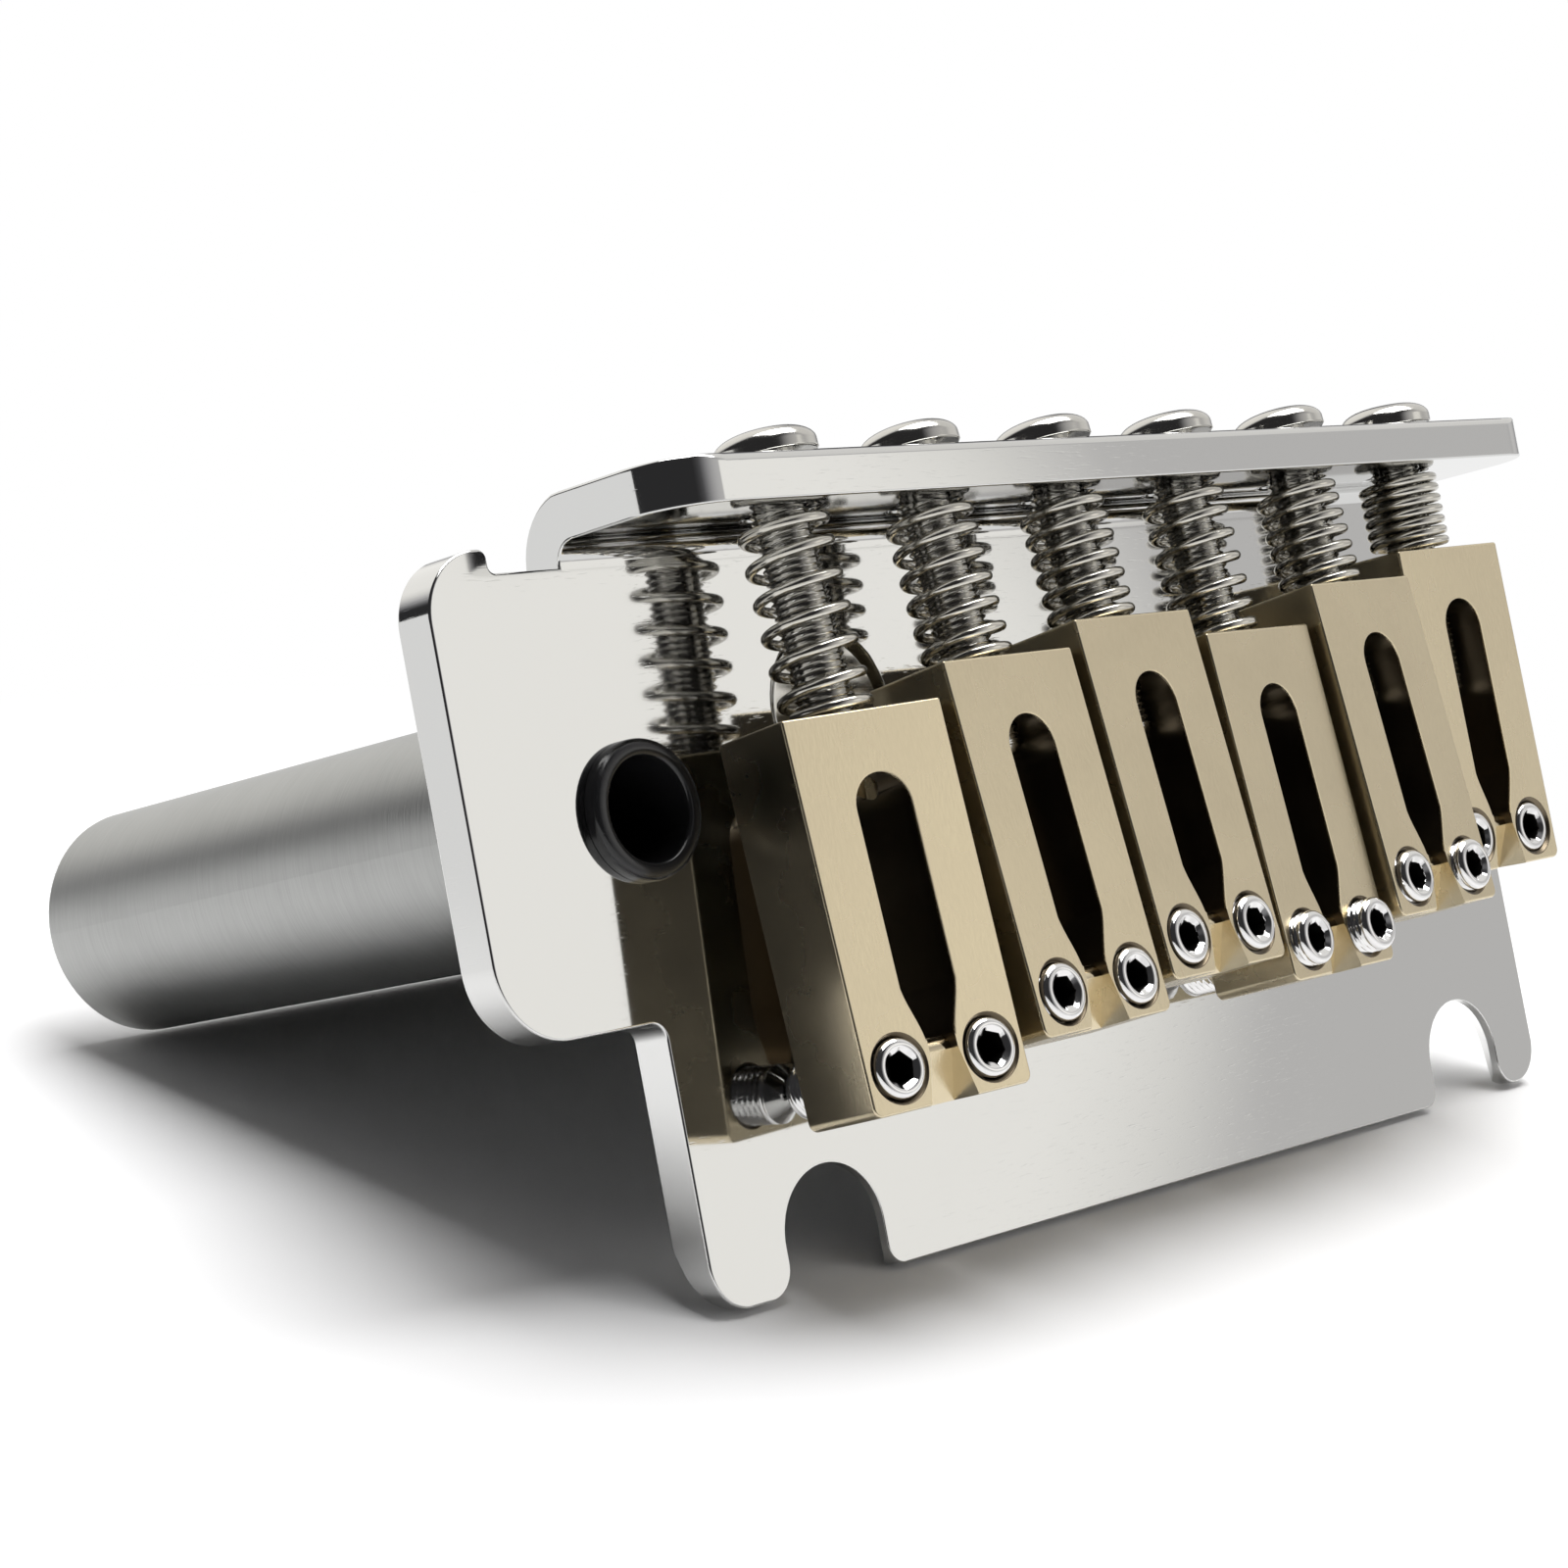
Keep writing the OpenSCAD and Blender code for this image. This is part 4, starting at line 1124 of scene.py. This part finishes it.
for i, piece in enumerate(copies(build_pan_screw(), ["pan_screw_%d" % k for k in range(1, 7)])):
    along = Matrix.Translation((0, SEAT, 0)) @ Matrix.Rotation(-math.pi / 2, 4, "X")
    turn = Matrix.Rotation(math.radians(FIRST_TURN + NEXT_TURN * i), 4, "Z")
    set_in_place(piece, string_place(i) @ along @ turn)
    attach(piece, "screw_%d" % (i + 1))
    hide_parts("intonation_screw_%d" % (i + 1))


# Springs: six equal compression springs of plated wire with closed ends, one round each intonation
# screw, pressed between the flange and the saddle.
COIL_R, WIRE, COIL_TURNS, CLOSED_TURNS = 2.13, 0.55, 6.5, 0.6
END_GAP, TURN_STEPS, WIRE_FACETS, WIRE_PRESS = 0.1, 40, 14, 1.06
WIRE_STEEL = (0.57, 0.55, 0.50, 1)


def coil_tree():
    """Node tree of a compression spring along Z from its radius, wire, turns, closed turns and length."""
    sizes = ("Radius", "Wire", "Turns", "Closed Turns", "Length")
    sockets = {**dict.fromkeys(sizes, "Float"), "Steps": "Int", "Material": "Material"}
    tree = node_group("wind coil", "GeometryNodeTree", sockets, {"Geometry": "Geometry"})
    given = add_node(tree, "NodeGroupInput").outputs
    calc = partial(maths, tree)
    radius, wire, turns, closed, length, steps = [given[label] for label in (*sizes, "Steps")]
    index = add_node(tree, "GeometryNodeInputIndex").outputs[0]
    turn = calc("MULTIPLY", calc("DIVIDE", index, calc("SUBTRACT", steps, 1)), turns)
    angle = calc("MULTIPLY", turn, math.tau)
    tight = calc("MULTIPLY", wire, WIRE_PRESS)
    ends = calc("MULTIPLY", closed, 2)
    last = calc("MAXIMUM", 0, calc("SUBTRACT", turn, calc("SUBTRACT", turns, closed)))
    dead = calc("ADD", calc("MINIMUM", turn, closed), last)
    open_run = calc("SUBTRACT", calc("SUBTRACT", length, wire), calc("MULTIPLY", ends, tight))
    pitch = calc("DIVIDE", open_run, calc("SUBTRACT", turns, ends))
    live = calc("MULTIPLY", calc("SUBTRACT", turn, dead), pitch)
    climb = calc("ADD", calc("MULTIPLY", dead, tight), live)
    half_wire = calc("DIVIDE", wire, 2)
    x, y = [calc("MULTIPLY", radius, calc(wave, angle)) for wave in ("COSINE", "SINE")]
    line = add_node(tree, "GeometryNodeMeshLine", {"Count": steps})
    put = add_node(tree, "GeometryNodeSetPosition", {
        "Geometry": line.outputs["Mesh"], "Position": joined(tree, x, y, calc("ADD", climb, half_wire)),
    })
    path = add_node(tree, "GeometryNodeMeshToCurve", {"Mesh": put.outputs["Geometry"]})
    section = add_node(
        tree, "GeometryNodeCurvePrimitiveCircle", {"Resolution": WIRE_FACETS, "Radius": half_wire}
    )
    skin = add_node(tree, "GeometryNodeCurveToMesh", {
        "Curve": path.outputs["Curve"], "Profile Curve": section.outputs["Curve"], "Fill Caps": True,
    })
    end_shape(tree, skin.outputs["Mesh"], given["Material"])
    return tree


COIL = coil_tree()
wire_steel = polished_metal(
    "spring wire", WIRE_STEEL, scale=400, roughness=0.16, smudge=0.1, hairline=0.4
)
for i in range(6):
    tilt = math.radians(TILT[i])
    start = (FLANGE_T / 2 + (COIL_R + WIRE / 2) * math.sin(tilt)) / math.cos(tilt) + END_GAP
    length = REACH[i] - END_GAP - start
    piece = put_object("coil_spring_%d" % (i + 1), bpy.data.meshes.new("coil"))
    run_tree(piece, COIL, **{
        "Radius": COIL_R, "Wire": WIRE, "Turns": COIL_TURNS, "Closed Turns": CLOSED_TURNS,
        "Length": length, "Steps": round(COIL_TURNS * TURN_STEPS) + 1, "Material": wire_steel,
    })
    for face in piece.data.polygons:
        face.use_smooth = True
    place = string_place(i)
    set_in_place(piece, place @ Matrix.Rotation(math.pi / 2, 4, "X") @ Matrix.Translation((0, 0, start)))
    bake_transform(piece)
    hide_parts("intonation_spring_%d" % (i + 1))
